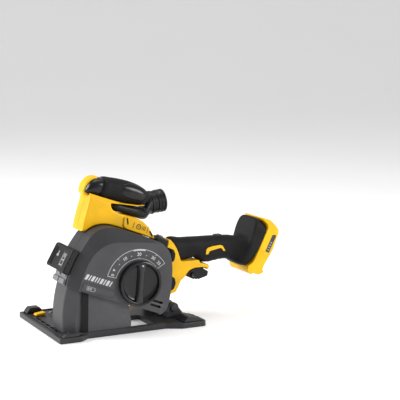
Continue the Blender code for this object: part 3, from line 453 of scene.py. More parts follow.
YELLOW_COLOUR, GRAPHITE_COLOUR, GREY_COLOUR = (0.84, 0.46, 0.0), (0.066, 0.066, 0.069), (0.20, 0.20,
                                                                                         0.21)
BLACK_COLOUR, GRIP_COLOUR = (0.0085, 0.0085, 0.009), (0.0095, 0.0095, 0.010)
# The hood colour is the graphite darkened, as painted shade on the guard's rim and chamfer.
SHADED_HOOD_COLOUR, SHOE_COLOUR, GLOSS_COLOUR = (0.036, 0.036, 0.038), (0.026, 0.026, 0.028), (0.004,
                                                                                        0.004,
                                                                                        0.005)
PRINT_COLOUR, WORN_PRINT_COLOUR, LABEL_COLOUR = (0.50, 0.50, 0.51), (0.26, 0.26, 0.27), (0.055,
                                                                                         0.055,
                                                                                         0.06)
FINISH = {
    "yellow": (plastic("yellow_nylon", YELLOW_COLOUR, 0.40, edge=1.2, scuff=0.3, coat=0.05,
                       shine=0.25),
               "yellow_plastic"),
    "graphite": (plastic("graphite_nylon", GRAPHITE_COLOUR, 0.43, edge=1.9), "graphite_plastic"),
    # The hood finish is the graphite painted darker: painted shade on the guard shells' rim and
    # chamfer.
    "hood": (plastic("textured_graphite_painted_shade", SHADED_HOOD_COLOUR, 0.5, 1.1, 0.05, 2.2, shine=0.2),
             "graphite_plastic"),
    "shoe": (plastic("dark_shoe_nylon", SHOE_COLOUR, 0.38, edge=2.4, shine=0.3),
             "graphite_plastic"),
    "black": (plastic("black_nylon", BLACK_COLOUR, 0.36, edge=2.6, shine=0.22), "black_plastic"),
    "textured": (plastic("coarse_black_nylon", BLACK_COLOUR, 0.55, 1.6, 0.25, 2.6),
                 "black_plastic"),
    "gloss": (plastic("glossy_black", GLOSS_COLOUR, 0.22, 0.6, 0.01, 2.0, coat=0.12, shine=0.3),
              "black_plastic"),
    "grey": (plastic("light_grey_nylon", GREY_COLOUR, 0.42, edge=1.4), "grey_plastic"),
    "print": (plastic("printed_marks", PRINT_COLOUR, 0.5, edge=1.0), "grey_plastic"),
    "dim_print": (plastic("worn_printed_marks", WORN_PRINT_COLOUR, 0.5, edge=1.0), "grey_plastic"),
    "label": (plastic("dark_label", LABEL_COLOUR, 0.3, 2.0, 0.01, 1.3), "grey_plastic"),
}
print("plastics:", ", ".join(FINISH))

# %% [markdown]
# ## Rubber and metals
# The soft grip is moulded over the nylon. It is matt, with a close dot pattern and a slight
# sheen. Ground steel shows fine lines one way, castings are pebbled, the blades are lapped in
# rings round the spindle with a gritty diamond rim, and the motor's copper lies in turns.
# %% Rubber and metal finishes
DOT_PITCH, RING_PITCH, LAPPED_R = 2.2, 1.1, 54.5


def grip_finish():
    """Dots on a slanting grid: sin(x + z) sin(x - z), raised where it is high, on a dark body."""
    material, place, shader = start_finish("soft_grip_rubber")
    x = place.node("ShaderNodeSeparateXYZ", None, {0: place})
    z = Signal(x.tree, x.socket.node.outputs["Z"])
    turns = 2 * math.pi / (DOT_PITCH * MM)
    dots = (((x + z) * turns).wave() * ((x - z) * turns).wave()).step(0.05, 0.8)
    blotch, fine = place.noise(30, 2.0), place.noise(0.5, 2.0)
    colour = blotch.step(0.3, 0.7).blend(shade(GRIP_COLOUR, 0.85), shade(GRIP_COLOUR, 1.25))
    colour = (dots * 0.25).blend(colour, shade(GRIP_COLOUR, 1.7))
    feed(shader, colour, 0.56 + (blotch - 0.5) * 0.16 + (fine - 0.5) * 0.1,
         dots * 0.5 + fine * 0.4, 0.09)
    shader.inputs["Specular IOR Level"].default_value = 0.12
    shader.inputs["Sheen Weight"].default_value = 0.01
    shader.inputs["Sheen Roughness"].default_value = 0.4
    return material


def metal(name, colour, rough, grain, stretch=(1, 1, 1), depth=0.03, pits=0.0):
    """Noise stretched along the grinding marks varies the colour, the roughness and the bump."""
    material, place, shader = start_finish(name)
    lines, cloud = place.noise(grain, 3.0, 0.6, stretch), place.noise(18, 2.0)
    spots = place.noise(grain * 2.5, 1.0).step(0.6, 0.72)
    body = cloud.step(0.3, 0.7).blend(shade(colour, 0.86), shade(colour, 1.1))
    body = (lines * 0.4 + spots * pits).blend(body, shade(colour, 0.6))
    feed(shader, body, rough + (lines - 0.5) * 0.25 + (cloud - 0.5) * 0.12 + spots * (0.2 * pits),
         lines, depth)
    shader.inputs["Metallic"].default_value = 1.0
    return material


def blade_finish():
    """Distance from the spindle sorts bright lapped core from the dull bronze diamond rim."""
    material, place, shader = start_finish("diamond_blade_steel")
    out = place.node("ShaderNodeVectorMath", {"operation": "SUBTRACT"},
                     {0: place, 1: (SPINDLE[0] * MM, 0.0, SPINDLE[1] * MM)})
    out = out.node("ShaderNodeVectorMath", {"operation": "MULTIPLY"}, {0: out, 1: (1.0, 0.0, 1.0)})
    radius = out.node("ShaderNodeVectorMath", {"operation": "LENGTH"}, {0: out}, "Value")
    rim = radius.step((LAPPED_R - 0.2) * MM, (LAPPED_R + 0.2) * MM)
    rings = (radius * (2 * math.pi / (RING_PITCH * MM))).wave() * 0.5 + 0.5
    grit = place.noise(0.8, 3.0, 0.7)
    core = rings.blend((0.52, 0.52, 0.54, 1.0), (0.64, 0.64, 0.66, 1.0))
    feed(shader, rim.blend(core, grit.blend((0.16, 0.12, 0.08, 1.0), (0.42, 0.35, 0.25, 1.0))),
         0.26 + rim * 0.32 + (rings - 0.5) * 0.08 + (grit - 0.5) * 0.1, grit * rim + rings * 0.1,
         0.12)
    shader.inputs["Metallic"].default_value = 1.0
    return material


FINISH.update({
    "grip": (grip_finish(), "soft_grip"),
    "rubber": (plastic("plain_rubber", GRIP_COLOUR, 0.62, 0.8, 0.06, 1.6), "soft_grip"),
    "steel": (metal("ground_steel", (0.60, 0.60, 0.62), 0.3, 1.2, (0.05, 1, 1)), "steel"),
    "zinc": (metal("zinc_screw", (0.34, 0.34, 0.36), 0.34, 0.8), "steel"),
    "blade": (blade_finish(), "steel"),
    "dark_steel": (metal("blackened_steel_oil", (0.07, 0.07, 0.078), 0.42, 1.0, pits=0.3),
                   "blackened_steel"),
    "casting": (metal("cast_alloy", (0.24, 0.245, 0.255), 0.46, 0.9, depth=0.12, pits=0.5),
                "cast_aluminium"),
    "copper": (metal("copper_turns", (0.72, 0.33, 0.14), 0.4, 1.0, (1, 0.08, 1), 0.3),
               "copper_winding"),
})
print("finishes:", ", ".join(FINISH))

# %% [markdown]
# ## From surface to piece
# Every piece is welded, has its faces turned outwards, and then gets its wall thickness, its
# cut-outs and its fine edge rounding. The mesh is made final straight away, and faces that meet
# at a real corner keep a crisp edge while the rest are shaded smooth.
# %% Pieces
def make_object(name, surface):
    """Welds the surface, turns its faces outwards and scales it to metres. An open skin is turned
    so that its faces look away from its middle on the whole."""
    points, faces = surface
    mesh = bpy.data.meshes.new(name)
    mesh.from_pydata((np.asarray(points) * MM).tolist(), [], faces)
    work = bmesh.new()
    work.from_mesh(mesh)
    bmesh.ops.remove_doubles(work, verts=work.verts, dist=2e-6)
    bmesh.ops.dissolve_degenerate(work, dist=1e-6, edges=work.edges)
    bmesh.ops.recalc_face_normals(work, faces=work.faces)
    if any(edge.is_boundary for edge in work.edges):
        middle = sum((v.co for v in work.verts), Vector()) / len(work.verts)
        outward = sum(face.normal.dot(face.calc_center_median() - middle) * face.calc_area()
                      for face in work.faces)
        if outward < 0:
            bmesh.ops.reverse_faces(work, faces=work.faces)
    work.to_mesh(mesh)
    work.free()
    made = bpy.data.objects.new(name, mesh)
    bpy.context.scene.collection.objects.link(made)
    return made


def add_modifier(target, kind, **settings):
    """Adds a modifier of this kind, with these settings."""
    modifier = target.modifiers.new(kind.lower(), kind)
    for key, value in settings.items():
        setattr(modifier, key, value)


def dress(made, body, finish, replaces, crease, weighted):
    """Makes the modifiers final, shades the mesh, gives it its finish and its body."""
    evaluated = made.evaluated_get(bpy.context.evaluated_depsgraph_get())
    final = bpy.data.meshes.new_from_object(evaluated)
    made.modifiers.clear()
    made.data = final
    final.shade_smooth()
    final.set_sharp_from_angle(angle=math.radians(crease))
    if weighted:
        add_modifier(made, "WEIGHTED_NORMAL", keep_sharp=True, weight=50)
    material, slot = FINISH[finish]
    final.materials.clear()
    final.materials.append(material)
    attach(made, body)
    if replaces:
        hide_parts(*replaces)
    return made


def piece(name, surface, body, finish, replaces=(), wall=0.0, edge=0.0, cuts=(), crease=34,
          weighted=True):
    """A finished piece: wall thickness inwards, cut-outs, then rounding of its sharp edges."""
    made = make_object(name, surface)
    if wall:
        add_modifier(made, "SOLIDIFY", thickness=wall * MM, offset=-1.0, use_even_offset=True)
    cutters = [make_object("cutter", cut) for cut in cuts]
    for cutter in cutters:
        add_modifier(made, "BOOLEAN", operation="DIFFERENCE", solver="EXACT", object=cutter)
    if edge:
        add_modifier(made, "BEVEL", width=edge * MM, segments=2, limit_method="ANGLE",
                     angle_limit=math.radians(crease), harden_normals=False)
    dress(made, body, finish, replaces, crease, weighted)
    for cutter in cutters:
        bpy.data.objects.remove(cutter, do_unlink=True)
    return made


def refined(node, finish, edge=0.6):
    """A welded copy of a solid part with its flat faces whole again and its edges rounded."""
    source = frame["nodes"][node]
    work = bmesh.new()
    work.from_mesh(source.data)
    bmesh.ops.remove_doubles(work, verts=work.verts, dist=2e-6)
    bmesh.ops.dissolve_limit(work, angle_limit=math.radians(1.0), verts=work.verts,
                             edges=work.edges)
    work.verts.ensure_lookup_table()
    work.verts.index_update()
    points = np.array([v.co for v in work.verts]) / MM
    surface = (points, [[v.index for v in f.verts] for f in work.faces])
    work.free()
    return piece(node + "_finished", surface, source["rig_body"], finish, (node,), edge=edge)


print("pieces can be made, and solid parts refined")

# %% [markdown]
# ## The shoe
# The shoe is a moulded plate that slides along the wall, with a window for the blades and one
# for the gear case. It could be a bevelled extrusion, but a raised lip and a gutter run right
# round it, so its top is a stack of the same outline moved inwards, and only the flat middle is
# a face with holes. The pockets behind the front lip save weight.
# %% Shoe plate
SHOE_TOP, SHOE_FRONT, SHOE_REAR, SHOE_SIDE = 9.0, -220.0, 40.0, 100.0
SHOE_OUTLINE = [(SHOE_FRONT, -SHOE_SIDE), (-183, -SHOE_SIDE), (-167, -87), (-30, -87),
                (-4, -SHOE_SIDE), (36, -SHOE_SIDE), (SHOE_REAR, -94), (SHOE_REAR, -62), (22, -56),
                (22, 60), (SHOE_REAR, 66), (SHOE_REAR, 94), (36, SHOE_SIDE),
                (SHOE_FRONT, SHOE_SIDE)]
WINDOWS = [fillet([(-196, -74), (-45, -74), (-45, -9), (-196, -9)], 6),
           fillet([(-158, -1), (-104, -1), (-104, 47), (-158, 47)], 6)]


def shoe_ring(distance, height, radius=3.0):
    """The shoe's outline moved in by a distance, with rounded corners, at a height."""
    return at_z(level(fillet(inset(SHOE_OUTLINE, distance), radius)), height)


def pocket_outlines():
    """Slots in a row behind the front lip, and shorter ones across the far side of the plate."""
    rows = [((-206.2, y), (-206.2, y + 15)) for y in (-58, -36, -14, 8, 30)]
    rows += [((x, 58), (x, 76)) for x in (-170, -156, -142, -128, -114, -100, -86)]
    rows += [((x, y), (x + 10, y)) for x in (-18, 0) for y in (-30, -12, 6, 24)]
    return [capsule(a, b, 2.6, 5) for a, b in rows]


def make_shoe():
    """Sole, side, lip and gutter are rings of one outline; the top has windows and pockets."""
    side = rounded(np.array([shoe_ring(3, 0), shoe_ring(0, 0), shoe_ring(0, SHOE_TOP),
                             shoe_ring(4.5, SHOE_TOP), shoe_ring(5.2, SHOE_TOP - 2.6),
                             shoe_ring(8.4, SHOE_TOP - 2.6), shoe_ring(9.0, SHOE_TOP - 0.6),
                             shoe_ring(10.2, SHOE_TOP - 0.6)]), (1.3, 1.6, 0.5, 0.4, 0.4, 0.4), 3)
    pockets = pocket_outlines()
    top_holes = [level(loop) for loop in WINDOWS + pockets]
    top = flat([side[-1][:, :2], *top_holes], SHOE_TOP - 0.6, at_z)
    sole = flat([side[0][:, :2], *top_holes[:2]], 0, at_z)
    walls = [tube([at_z(level(loop), 0), at_z(level(loop), SHOE_TOP - 0.6)]) for loop in WINDOWS]
    cups = [skin([at_z(level(loop), SHOE_TOP - 0.6), at_z(level(inset(loop, 0.5)), SHOE_TOP - 4.4)],
                 caps=(False, True)) for loop in pockets]
    return piece("shoe_plate_moulding", merge(tube(side), top, sole, *walls, *cups), "shoe", "shoe",
                 ["shoe_plate"])


print("shoe:", len(make_shoe().data.polygons), "faces")

# %% [markdown]
# The corners carry raised pads, the rear ones ribbed for a hold when the shoe is pressed down,
# and a yellow pointer on the far side shows the line of the cut.
# %% Pads, ribs and pointer on the shoe
FOOT = SHOE_TOP + 0.3


def shoe_block(outline, low, high, edge=1.4):
    """A block on the shoe: an (x, z) outline from one depth to another."""
    return pad(fillet(level(outline), 2.0, 3), low, high, edge)


PADS = {"corner_pad_front_near": ([(-214, FOOT), (-186, FOOT), (-190, FOOT + 5), (-208, FOOT + 5)],
                                  -98, -89),
        "corner_pad_front_far": ([(-214, FOOT), (-182, FOOT), (-190, FOOT + 9), (-207, FOOT + 9)],
                                 80, 97),
        "corner_pad_rear_near": ([(-2, FOOT), (36, FOOT), (34, FOOT + 2), (13, FOOT + 9),
                                  (6, FOOT + 9)], -97, -64),
        "corner_pad_rear_far": ([(-2, FOOT), (36, FOOT), (34, FOOT + 2), (13, FOOT + 9),
                                 (6, FOOT + 9)], 68, 97)}
for pad_name, (pad_outline, pad_low, pad_high) in PADS.items():
    piece(pad_name + "_soft", shoe_block(pad_outline, pad_low, pad_high), "shoe", "shoe",
          [pad_name])
piece("cut_pointer", shoe_block([(-206, FOOT), (-186, FOOT), (-188, FOOT + 5), (-204, FOOT + 3)],
                                56, 68, 0.8),
      "shoe", "yellow", ["cut_marker"])


def shoe_ribs():
    """Low ribs with rounded tops across the rear pads."""
    rib = [(-1.1, 0), (1.1, 0), (0.8, 1.5), (-0.8, 1.5)]
    parts = []
    for x in (20, 24, 28):
        top = FOOT + 9 - (x - 13) * 7 / 21
        for low, high in ((-95, -66), (70, 95)):
            parts.append(pad(level(np.array(rib) + [x, top - 0.7]), low, high, 0.4))
    return merge(*parts)


piece("shoe_ribs", shoe_ribs(), "shoe", "shoe")
refined("shoe_hinge", "shoe", 0.9)
refined("hinge_pin", "dark_steel", 0.5)
print("pads and ribs stand on the shoe")

# %% [markdown]
# ## The lower guard
# The fixed guard is one sheet: it runs along the near wall, round a broad chamfer to the narrow
# front, and back along the far wall. Every upright line of it is an arc about the plunge pin, so
# the upper guard can swing down round it. The sheet is thickened inwards afterwards.
# %% Lower guard
HOOD_FOOT = SHOE_TOP + 0.3 - PIVOT[1]


def hood_line(radius, count=40):
    """Points on the arc about the pin from the foot to just inside the upper guard."""
    start = 180 - math.degrees(math.asin(HOOD_FOOT / radius))
    end = 180 - math.degrees(TIP) + math.degrees(math.asin(5 / radius))
    return arc(PIVOT, radius, start, end, count)


def hood_rear(count=40):
    """The rear edge of the side walls, evenly in height from the foot to the top."""
    corners = [(-90.0, HOOD_FOOT), (-90.0, -3.0), (-92.5, 8.0),
               (-99 * TIP_COS - 5 * TIP_SIN, 99 * TIP_SIN - 5 * TIP_COS)]
    line = spline(corners, 13, closed=False) + PIVOT
    return line[np.linspace(0, len(line) - 1, count).round().astype(int)]


def make_hood():
    """Rear edge, near wall with its groove, chamfer, front and far wall, as one sheet of rows."""
    rear = hood_rear()
    rows = [at_y(rear, -80), at_y(hood_line(176), -80), at_y(hood_line(177.4), -77.6),
            at_y(hood_line(184), -77.6), at_y(hood_line(185.4), -80), at_y(hood_line(187), -80),
            at_y(hood_line(203), -65), at_y(hood_line(203), -19), at_y(hood_line(187), -4),
            at_y(rear, -4)]
    radii = (0.6, 0.5, 0.5, 0.6, 0.7, 2.2, 2.2, 2.0)
    sheet = skin(rounded(np.array(rows), radii, 4), closed=False, caps=(False, False))
    way = level([(-158, 0), (-40, 0), (-40, 120), (-158, 120)])
    return piece("lower_guard_moulding", sheet, "shoe", "graphite", ["lower_guard"], wall=2.5,
                 cuts=[skin([at_y(way, -12), at_y(way, 2)])])


make_hood()
# A dark rubber strip on the lower guard's near wall beside the groove: painted shade for the
# groove.
GROOVE_SHADE_STRIP = [(-177.2, 9.4), (-165.0, 9.4), (-163.8, 72), (-174.4, 76)]
piece("guard_groove_painted_shade", pad(level(GROOVE_SHADE_STRIP), -80.45, -79.5, 0.2, seam=0.1), "shoe", "rubber")


def hood_flange():
    """A foot flange round the lower guard, where it is screwed to the shoe."""
    lows = [((-188, -86), (-100, -86)), ((-188, 2.5), (-170, 2.5))]
    parts = []
    for (x0, y0), (x1, _) in lows:
        strip = fillet(level([(x0, y0), (x1, y0), (x1, y0 + 5.4), (x0, y0 + 5.4)]), 1.2, 3)
        parts.append(pad(strip, SHOE_TOP - 1.2, SHOE_TOP + 0.15, 0.4, lay=at_z))
    return merge(*parts)


piece("lower_guard_flange", hood_flange(), "shoe", "graphite")
print("lower guard stands", round(float(hood_rear()[-1, 1]), 1), "mm above the floor")

# %% [markdown]
# ## The upper guard
# Two shells meet at a seam. Each runs straight to the rim, slopes over a wide chamfer and ends
# in a flat face, so it is made from two outlines with matching points, the rim and the face. The
# faces are sheets of their own, because the shells round them are painted darker, as painted shade
# on the rim and chamfer. The near face has a hole for the dial's shaft and two slots. The bottom
# stays open, because the lower guard slides up inside.
# %% Upper guard
GUARD_FOOT = -15.4
RIM = ([tuple(p) for p in arc((0, 0), 207, 180 + math.degrees(math.asin(15.4 / 207)), 159, 7)]
       + [(-188, 82.0), (-181, 88.5), (-172, 93.5), (-161, 96.7), (-148, 98.0), (-125, 98.4),
          (-100, 98.5)]
       + [(-82, 98.3), (-65, 95.7), (-56, 89), (-50, 80), (-44, 69), (-38, 50), (-34, 37),
          (-29.5, 15), (-28, 0), (-30.6, -8.3), (-37.7, GUARD_FOOT)])
FACE = [(-190, GUARD_FOOT), (-190.4, -4), (-190.6, 8), (-190.4, 19), (-189, 31), (-186, 43),
        (-181, 54), (-174, 63), (-166, 70), (-155, 75.6), (-142, 80), (-129, 84), (-115, 88),
        (-99, 92), (-82, 95), (-67, 93), (-57.5, 86.5), (-51.5, 78), (-45.8, 67.5), (-39.5, 49.5),
        (-35.5, 36.5), (-31, 14.5), (-29.5, 0.5), (-32, -7.8), (-38.5, GUARD_FOOT)]
VENTS = [capsule((-59.5, 4.6), (-42.5, 4.6), 2.0, 7), capsule((-60.5, -2.7), (-43.5, -2.7), 2.0, 7)]


def guard_sheets(seam, rim_y, face_y, holes):
    """The side sheet has a small step at the seam, the rim and the chamfer. The face sheet stands
    1 mm proud of the chamfer's end, with a rounded edge, and is flat round its holes."""
    out = 1 if face_y > seam else -1
    rim, face = (tool(spline(line, 7, closed=False)) for line in (RIM, FACE))
    ledge = face_y - out * 1.0
    side = rounded(np.array([at_y(inset(rim, 0.7, False), seam), at_y(rim, seam + out * 0.9),
                             at_y(rim, rim_y),
                             at_y(face, ledge), at_y(inset(face, 1.4, False), ledge)]),
                   (0.4, 1.4, 0.3), 4)
    edge = rounded(np.array([at_y(inset(face, 0.2, False), face_y - out * 1.8),
                             at_y(inset(face, 0.3, False), face_y),
                             at_y(inset(face, 2.6, False), face_y)]), (0.5,), 3)
    flat_edge = inset(face, 3.4, False)
    edge = np.concatenate([edge, at_y(flat_edge, face_y)[None]])
    return (skin(side, closed=False, caps=(False, False)),
            merge(skin(edge, closed=False, caps=(False, False)), flat([flat_edge, *holes], face_y)))


near_holes = [arc(DIAL, 6.4, 0, 350, 36)] + [tool(v) for v in VENTS]
near_side, near_face = guard_sheets(GUARD_SEAM_Y - 0.15, RIM_Y, FACE_Y, near_holes)
far_side, far_face = guard_sheets(GUARD_SEAM_Y + 0.15, -13, 4, [arc(SPINDLE, 16, 0, 350, 48)])
# The shells carry the darker hood finish, painted shade on the rim and chamfer; the faces stay
# graphite.
piece("guard_near_shell", near_side, "tool", "hood", ["guard_near"], wall=2.6)
piece("guard_near_face", near_face, "tool", "graphite", wall=2.4)
piece("guard_far_shell", far_side, "tool", "hood", ["guard_far"], wall=2.6)
piece("guard_far_face", far_face, "tool", "graphite", wall=2.4)
print("guard shells meet at y =", GUARD_SEAM_Y)

# %% [markdown]
# Behind the slots lies a black sheet, painted shade for the hollow inside the guard, and the near
# face carries a name panel with a raised border. Instead of a name there is a row of plain slanted
# bars, and a small battery sign stands for the rating.
# %% Name panel and badge
PLATE = np.concatenate([[(-187, -13.2), (-186.6, -0.2)], arc((-134, -5.2), 6.2, 72, -72, 12)])


def face_pad(outline, proud, edge=0.4, sink=0.35):
    """A thin block on the near face, standing proud by a set height."""
    return pad(tool(outline), FACE_Y - proud, FACE_Y - sink, edge, high_edge=0.05, seam=0.15)


def panel_border():
    """A thin raised rim: out along the panel's outline, over, and back just inside it."""
    outer, inner = tool(PLATE), inset(tool(PLATE), 1.1)
    rings = [at_y(outer, FACE_Y), at_y(outer, FACE_Y - 1.9), at_y(inner, FACE_Y - 1.9),
             at_y(inner, FACE_Y)]
    return tube(rounded(np.array(rings), (0.35, 0.35), 3))


def slanted_bars(left, low, widths, height, gap, slant):
    """Parallelograms side by side along u, leaning back by the slant."""
    parts, u = [], left
    for width in widths:
        bar = [(u, low), (u + width, low), (u + width + slant, low + height),
               (u + slant, low + height)]
        parts.append(face_pad(fillet(bar, 0.8, 3), 0.35, 0.12, 0.0))
        u += width + gap
    return parts


piece("name_panel", merge(face_pad(fillet(PLATE, 1.2, 2), 1.1, 0.3), panel_border()), "tool",
      "graphite", ["name_plate"])
badge = slanted_bars(-188.5, 5.2, (4.6, 2.2, 4.6, 2.2, 2.2, 4.6, 2.2, 4.6, 2.2), 9.0, 2.2, 2.4)
piece("badge_bars", merge(*badge), "tool", "print")


def battery_sign():
    """A small outline of a battery with three charge bars, on the name panel."""
    lift = [FACE_Y - 1.35, FACE_Y - 1.05]
    box = fillet([(-180, -10.6), (-165, -10.6), (-165, -3.6), (-180, -3.6)], 1.0, 3)
    rings = [at_y(tool(box), lift[1]), at_y(tool(box), lift[0]),
             at_y(tool(inset(box, 0.9)), lift[0]),
             at_y(tool(inset(box, 0.9)), lift[1])]
    parts = [tube(rings)]
    for u0, u1, v0, v1 in ((-164.8, -163.4, -8.6, -5.6), (-178.2, -175, -9, -5.2),
                           (-174, -170.8, -9, -5.2)):
        parts.append(pad(tool([(u0, v0), (u1, v0), (u1, v1), (u0, v1)]), lift[0], lift[1], 0.1,
                         seam=0.1))
    return merge(*parts)


piece("battery_sign", battery_sign(), "tool", "dim_print")
# A black sheet behind the two vent slots: painted shade inside them.
piece("guard_vent_painted_shade", pad(tool([(-66, -10), (-37, -10), (-37, 12), (-66, 12)]), FACE_Y + 5.5,
                          FACE_Y + 7, 0.3),
      "tool", "black")
print("badge has", len(badge), "bars")

# %% [markdown]
# ## The depth scale
# The scale is printed: an outline round the dial, numbers for the depth, and dots between them.
# Print has almost no height, so each mark is a plate a fifth of a millimetre thick. The numbers
# are made as text with a little depth, turned into a mesh, then turned and moved as arrays.
# %% Depth scale
SCALE_CENTRE, SCALE_IN, SCALE_OUT, SCALE_ENDS = (-96.0, 24.2), 40.2, 55.6, (52.0, 184.0)
PRINT_LOW, PRINT_HIGH = FACE_Y - 0.22, FACE_Y + 0.05


def print_plate(outline):
    """A printed mark: its outline as a plate a fifth of a millimetre thick."""
    return skin([at_y(tool(outline), PRINT_LOW), at_y(tool(outline), PRINT_HIGH)])


def ring_mark(radius, start, end, width, count=60):
    """A curved stripe: one arc out and a slightly smaller arc back."""
    return print_plate(np.concatenate([arc(SCALE_CENTRE, radius + width / 2, start, end, count),
                                       arc(SCALE_CENTRE, radius - width / 2, end, start, count)]))


def polar(radius, angle):
    """The (u, v) point at a radius and an angle from the middle of the scale."""
    return arc(SCALE_CENTRE, radius, angle, angle, 1)[0]


def bar_mark(angle, low, high, width):
    """A straight stripe along a radius."""
    a, b = polar(low, angle), polar(high, angle)
    across = (b - a)[::-1] * [-1, 1] / np.linalg.norm(b - a) * width / 2
    return print_plate([a - across, b - across, b + across, a + across])


def number_mark(text, angle, radius, size):
    """The text's flat mesh, centred, turned to stand upright on the tipped tool and moved out."""
    curve = bpy.data.curves.new("number", "FONT")
    curve.body, curve.size, curve.resolution_u = text, size, 3
    curve.align_x, curve.align_y = "CENTER", "CENTER"
    curve.offset, curve.extrude = size * 0.02, 0.12
    made = bpy.data.objects.new("number", curve)
    bpy.context.scene.collection.objects.link(made)
    evaluated = made.evaluated_get(bpy.context.evaluated_depsgraph_get())
    mesh = bpy.data.meshes.new_from_object(evaluated)
    bpy.data.objects.remove(made, do_unlink=True)
    solid = np.array([tuple(v.co) for v in mesh.vertices])
    lean = math.radians(angle - 90)
    c, s = math.cos(lean), math.sin(lean)
    uv = solid[:, :2] @ np.array([[c, s], [-s, c]]) + polar(radius, angle)
    places = at_y(tool(uv), 0) + np.outer((PRINT_LOW + PRINT_HIGH) / 2 - solid[:, 2], (0, 1, 0))
    return places, [list(p.vertices) for p in mesh.polygons]


def scale_marks():
    """The outline, the bars, the start triangle, three dots and the five numbers."""
    start, end = SCALE_ENDS
    parts = [ring_mark(SCALE_OUT, start, end, 0.8), ring_mark(SCALE_IN, start, end, 0.7),
             bar_mark(start, SCALE_IN - 0.35, SCALE_OUT + 0.4, 0.8),
             bar_mark(end, SCALE_IN - 0.35, SCALE_OUT + 0.4, 0.8),
             ring_mark(SCALE_OUT - 1.3, 97, 119, 1.9), bar_mark(74, SCALE_OUT - 3, SCALE_OUT, 0.8),
             bar_mark(150, SCALE_OUT - 3, SCALE_OUT, 0.8),
             bar_mark(108, SCALE_IN, SCALE_IN + 2.4, 0.8),
             print_plate([polar(46, 170), polar(50.5, 172.5), polar(50.5, 167.5)])]
    parts += [print_plate(arc(polar(46.6, a), 0.8, 0, 330, 12)) for a in (155, 125, 92)]
    parts += [number_mark(t, a, 47.3, 7.6) for t, a in (("0", 179.5), ("10", 139.5), ("20", 108),
                                                        ("30", 76), ("35", 60))]
    return merge(*parts)


scale = piece("depth_scale", scale_marks(), "tool", "print", weighted=False)
print("depth scale:", len(scale.data.polygons), "faces")

# %% [markdown]
# ## The depth dial
# The dial is turned: a skirt with fine grip notches, a rounded rim, and a hollow bowl. A finger
# bar crosses the bowl. Its section is a rounded ridge that is carried from rim to rim and grows
# wider at both feet. A pale dot marks the setting.
# %% Depth dial
DIAL_BACK, DIAL_R, DIAL_ANGLE = FACE_Y - 0.3, 37.0, math.radians(84.8)


def notches(angle, row):
    """48 shallow notches, -0.28 (1 + cos 48a), on the profile rows of the skirt only."""
    return np.where((row >= 2) & (row <= 5), -0.28 * (1 + np.cos(48 * angle)), 0.0)


def dial_body():
    """The dial's (radius, height) profile, from the back over the rim and down into the bowl."""
    h = -DIAL_BACK
    profile = [(0, h), (36.2, h), (DIAL_R, h + 0.8), (DIAL_R, h + 3.0), (DIAL_R, h + 5.2),
               (DIAL_R - 0.2, h + 6.6), (DIAL_R - 0.9, h + 8.0), (DIAL_R - 2.2, h + 8.8),
               (33.4, h + 8.9), (32.0, h + 8.4), (31.0, h + 7.0), (30.2, h + 4.4), (28.5, h + 2.9),
               (24, h + 2.3), (12, h + 2.1), (0.0, h + 2.1)]
    return turn(profile, (DIAL[0], 0, DIAL[1]), (0, -1, 0), 192, notches)


def dial_bar():
    """A half oval (w cos, h sin) at each place s along the bar; w grows as s^4 near the feet."""
    s = np.linspace(-1, 1, 41)[:, None]
    a = np.linspace(0, math.pi, 17)[None, :]
    half = 4.6 + 3.2 * s ** 4
    height = 7.9 - 0.8 * s ** 2 - 0.5 * s ** 8
    across = half * np.sign(np.cos(a)) * np.abs(np.cos(a)) ** 0.7
    tall = 1.6 + height * np.abs(np.sin(a)) ** 0.55
    along = np.array([math.cos(DIAL_ANGLE), math.sin(DIAL_ANGLE)])
    side = np.array([-along[1], along[0]])
    x = DIAL[0] + s * 31.5 * along[0] + across * side[0]
    z = DIAL[1] + s * 31.5 * along[1] + across * side[1]
    return skin(np.stack([x, DIAL_BACK - tall + 0 * s, z], -1))


piece("depth_dial_knob", dial_body(), "dial", "gloss", ["depth_dial"])
piece("depth_dial_bar", dial_bar(), "dial", "shoe", weighted=False)
marker = arc(DIAL + 29.2 * np.array([math.cos(DIAL_ANGLE), math.sin(DIAL_ANGLE)]), 1.5, 0, 350, 24)
piece("depth_dial_marker", pad(marker, DIAL_BACK - 9.4, DIAL_BACK - 8.2, 0.3), "dial", "print")
print("dial is", DIAL_R * 2, "mm across")

# %% [markdown]
# ## The plunge lock
# On the front of the guard a broad block slides sideways to free the plunge. It has a coarse
# grain for the thumb, a glossy window with a sign, and a raised index. Below it two pairs of
# pale wear tabs stand on a strip along the lip.
# %% Latch and tabs
LATCH = np.concatenate([arc((0, 0), 207.6, 168.2, 179.2, 9),
                        [(-219.0, 3.2), (-219.8, 7.0), (-214.6, 42.6), (-209.5, 44.4)]])


def latch_front(v, proud):
    """A point on the latch's front at height v: the outline's (u, v) line, moved out."""
    u = np.interp(v, [3.2, 7.0, 42.6, 44.4], [-219.0, -219.8, -214.6, -209.5])
    return tool(np.array([u - proud, v]))


def latch_patch(y_low, y_high, v_low, v_high, proud, sink=0.4, rows=10):
    """A plate that follows the latch's curved front between two heights."""
    v = np.linspace(v_low, v_high, rows)
    line = [latch_front(h, proud) for h in v] + [latch_front(h, -sink) for h in v[::-1]]
    return pad(np.array(line), y_low, y_high, 0.25, seam=0.1)


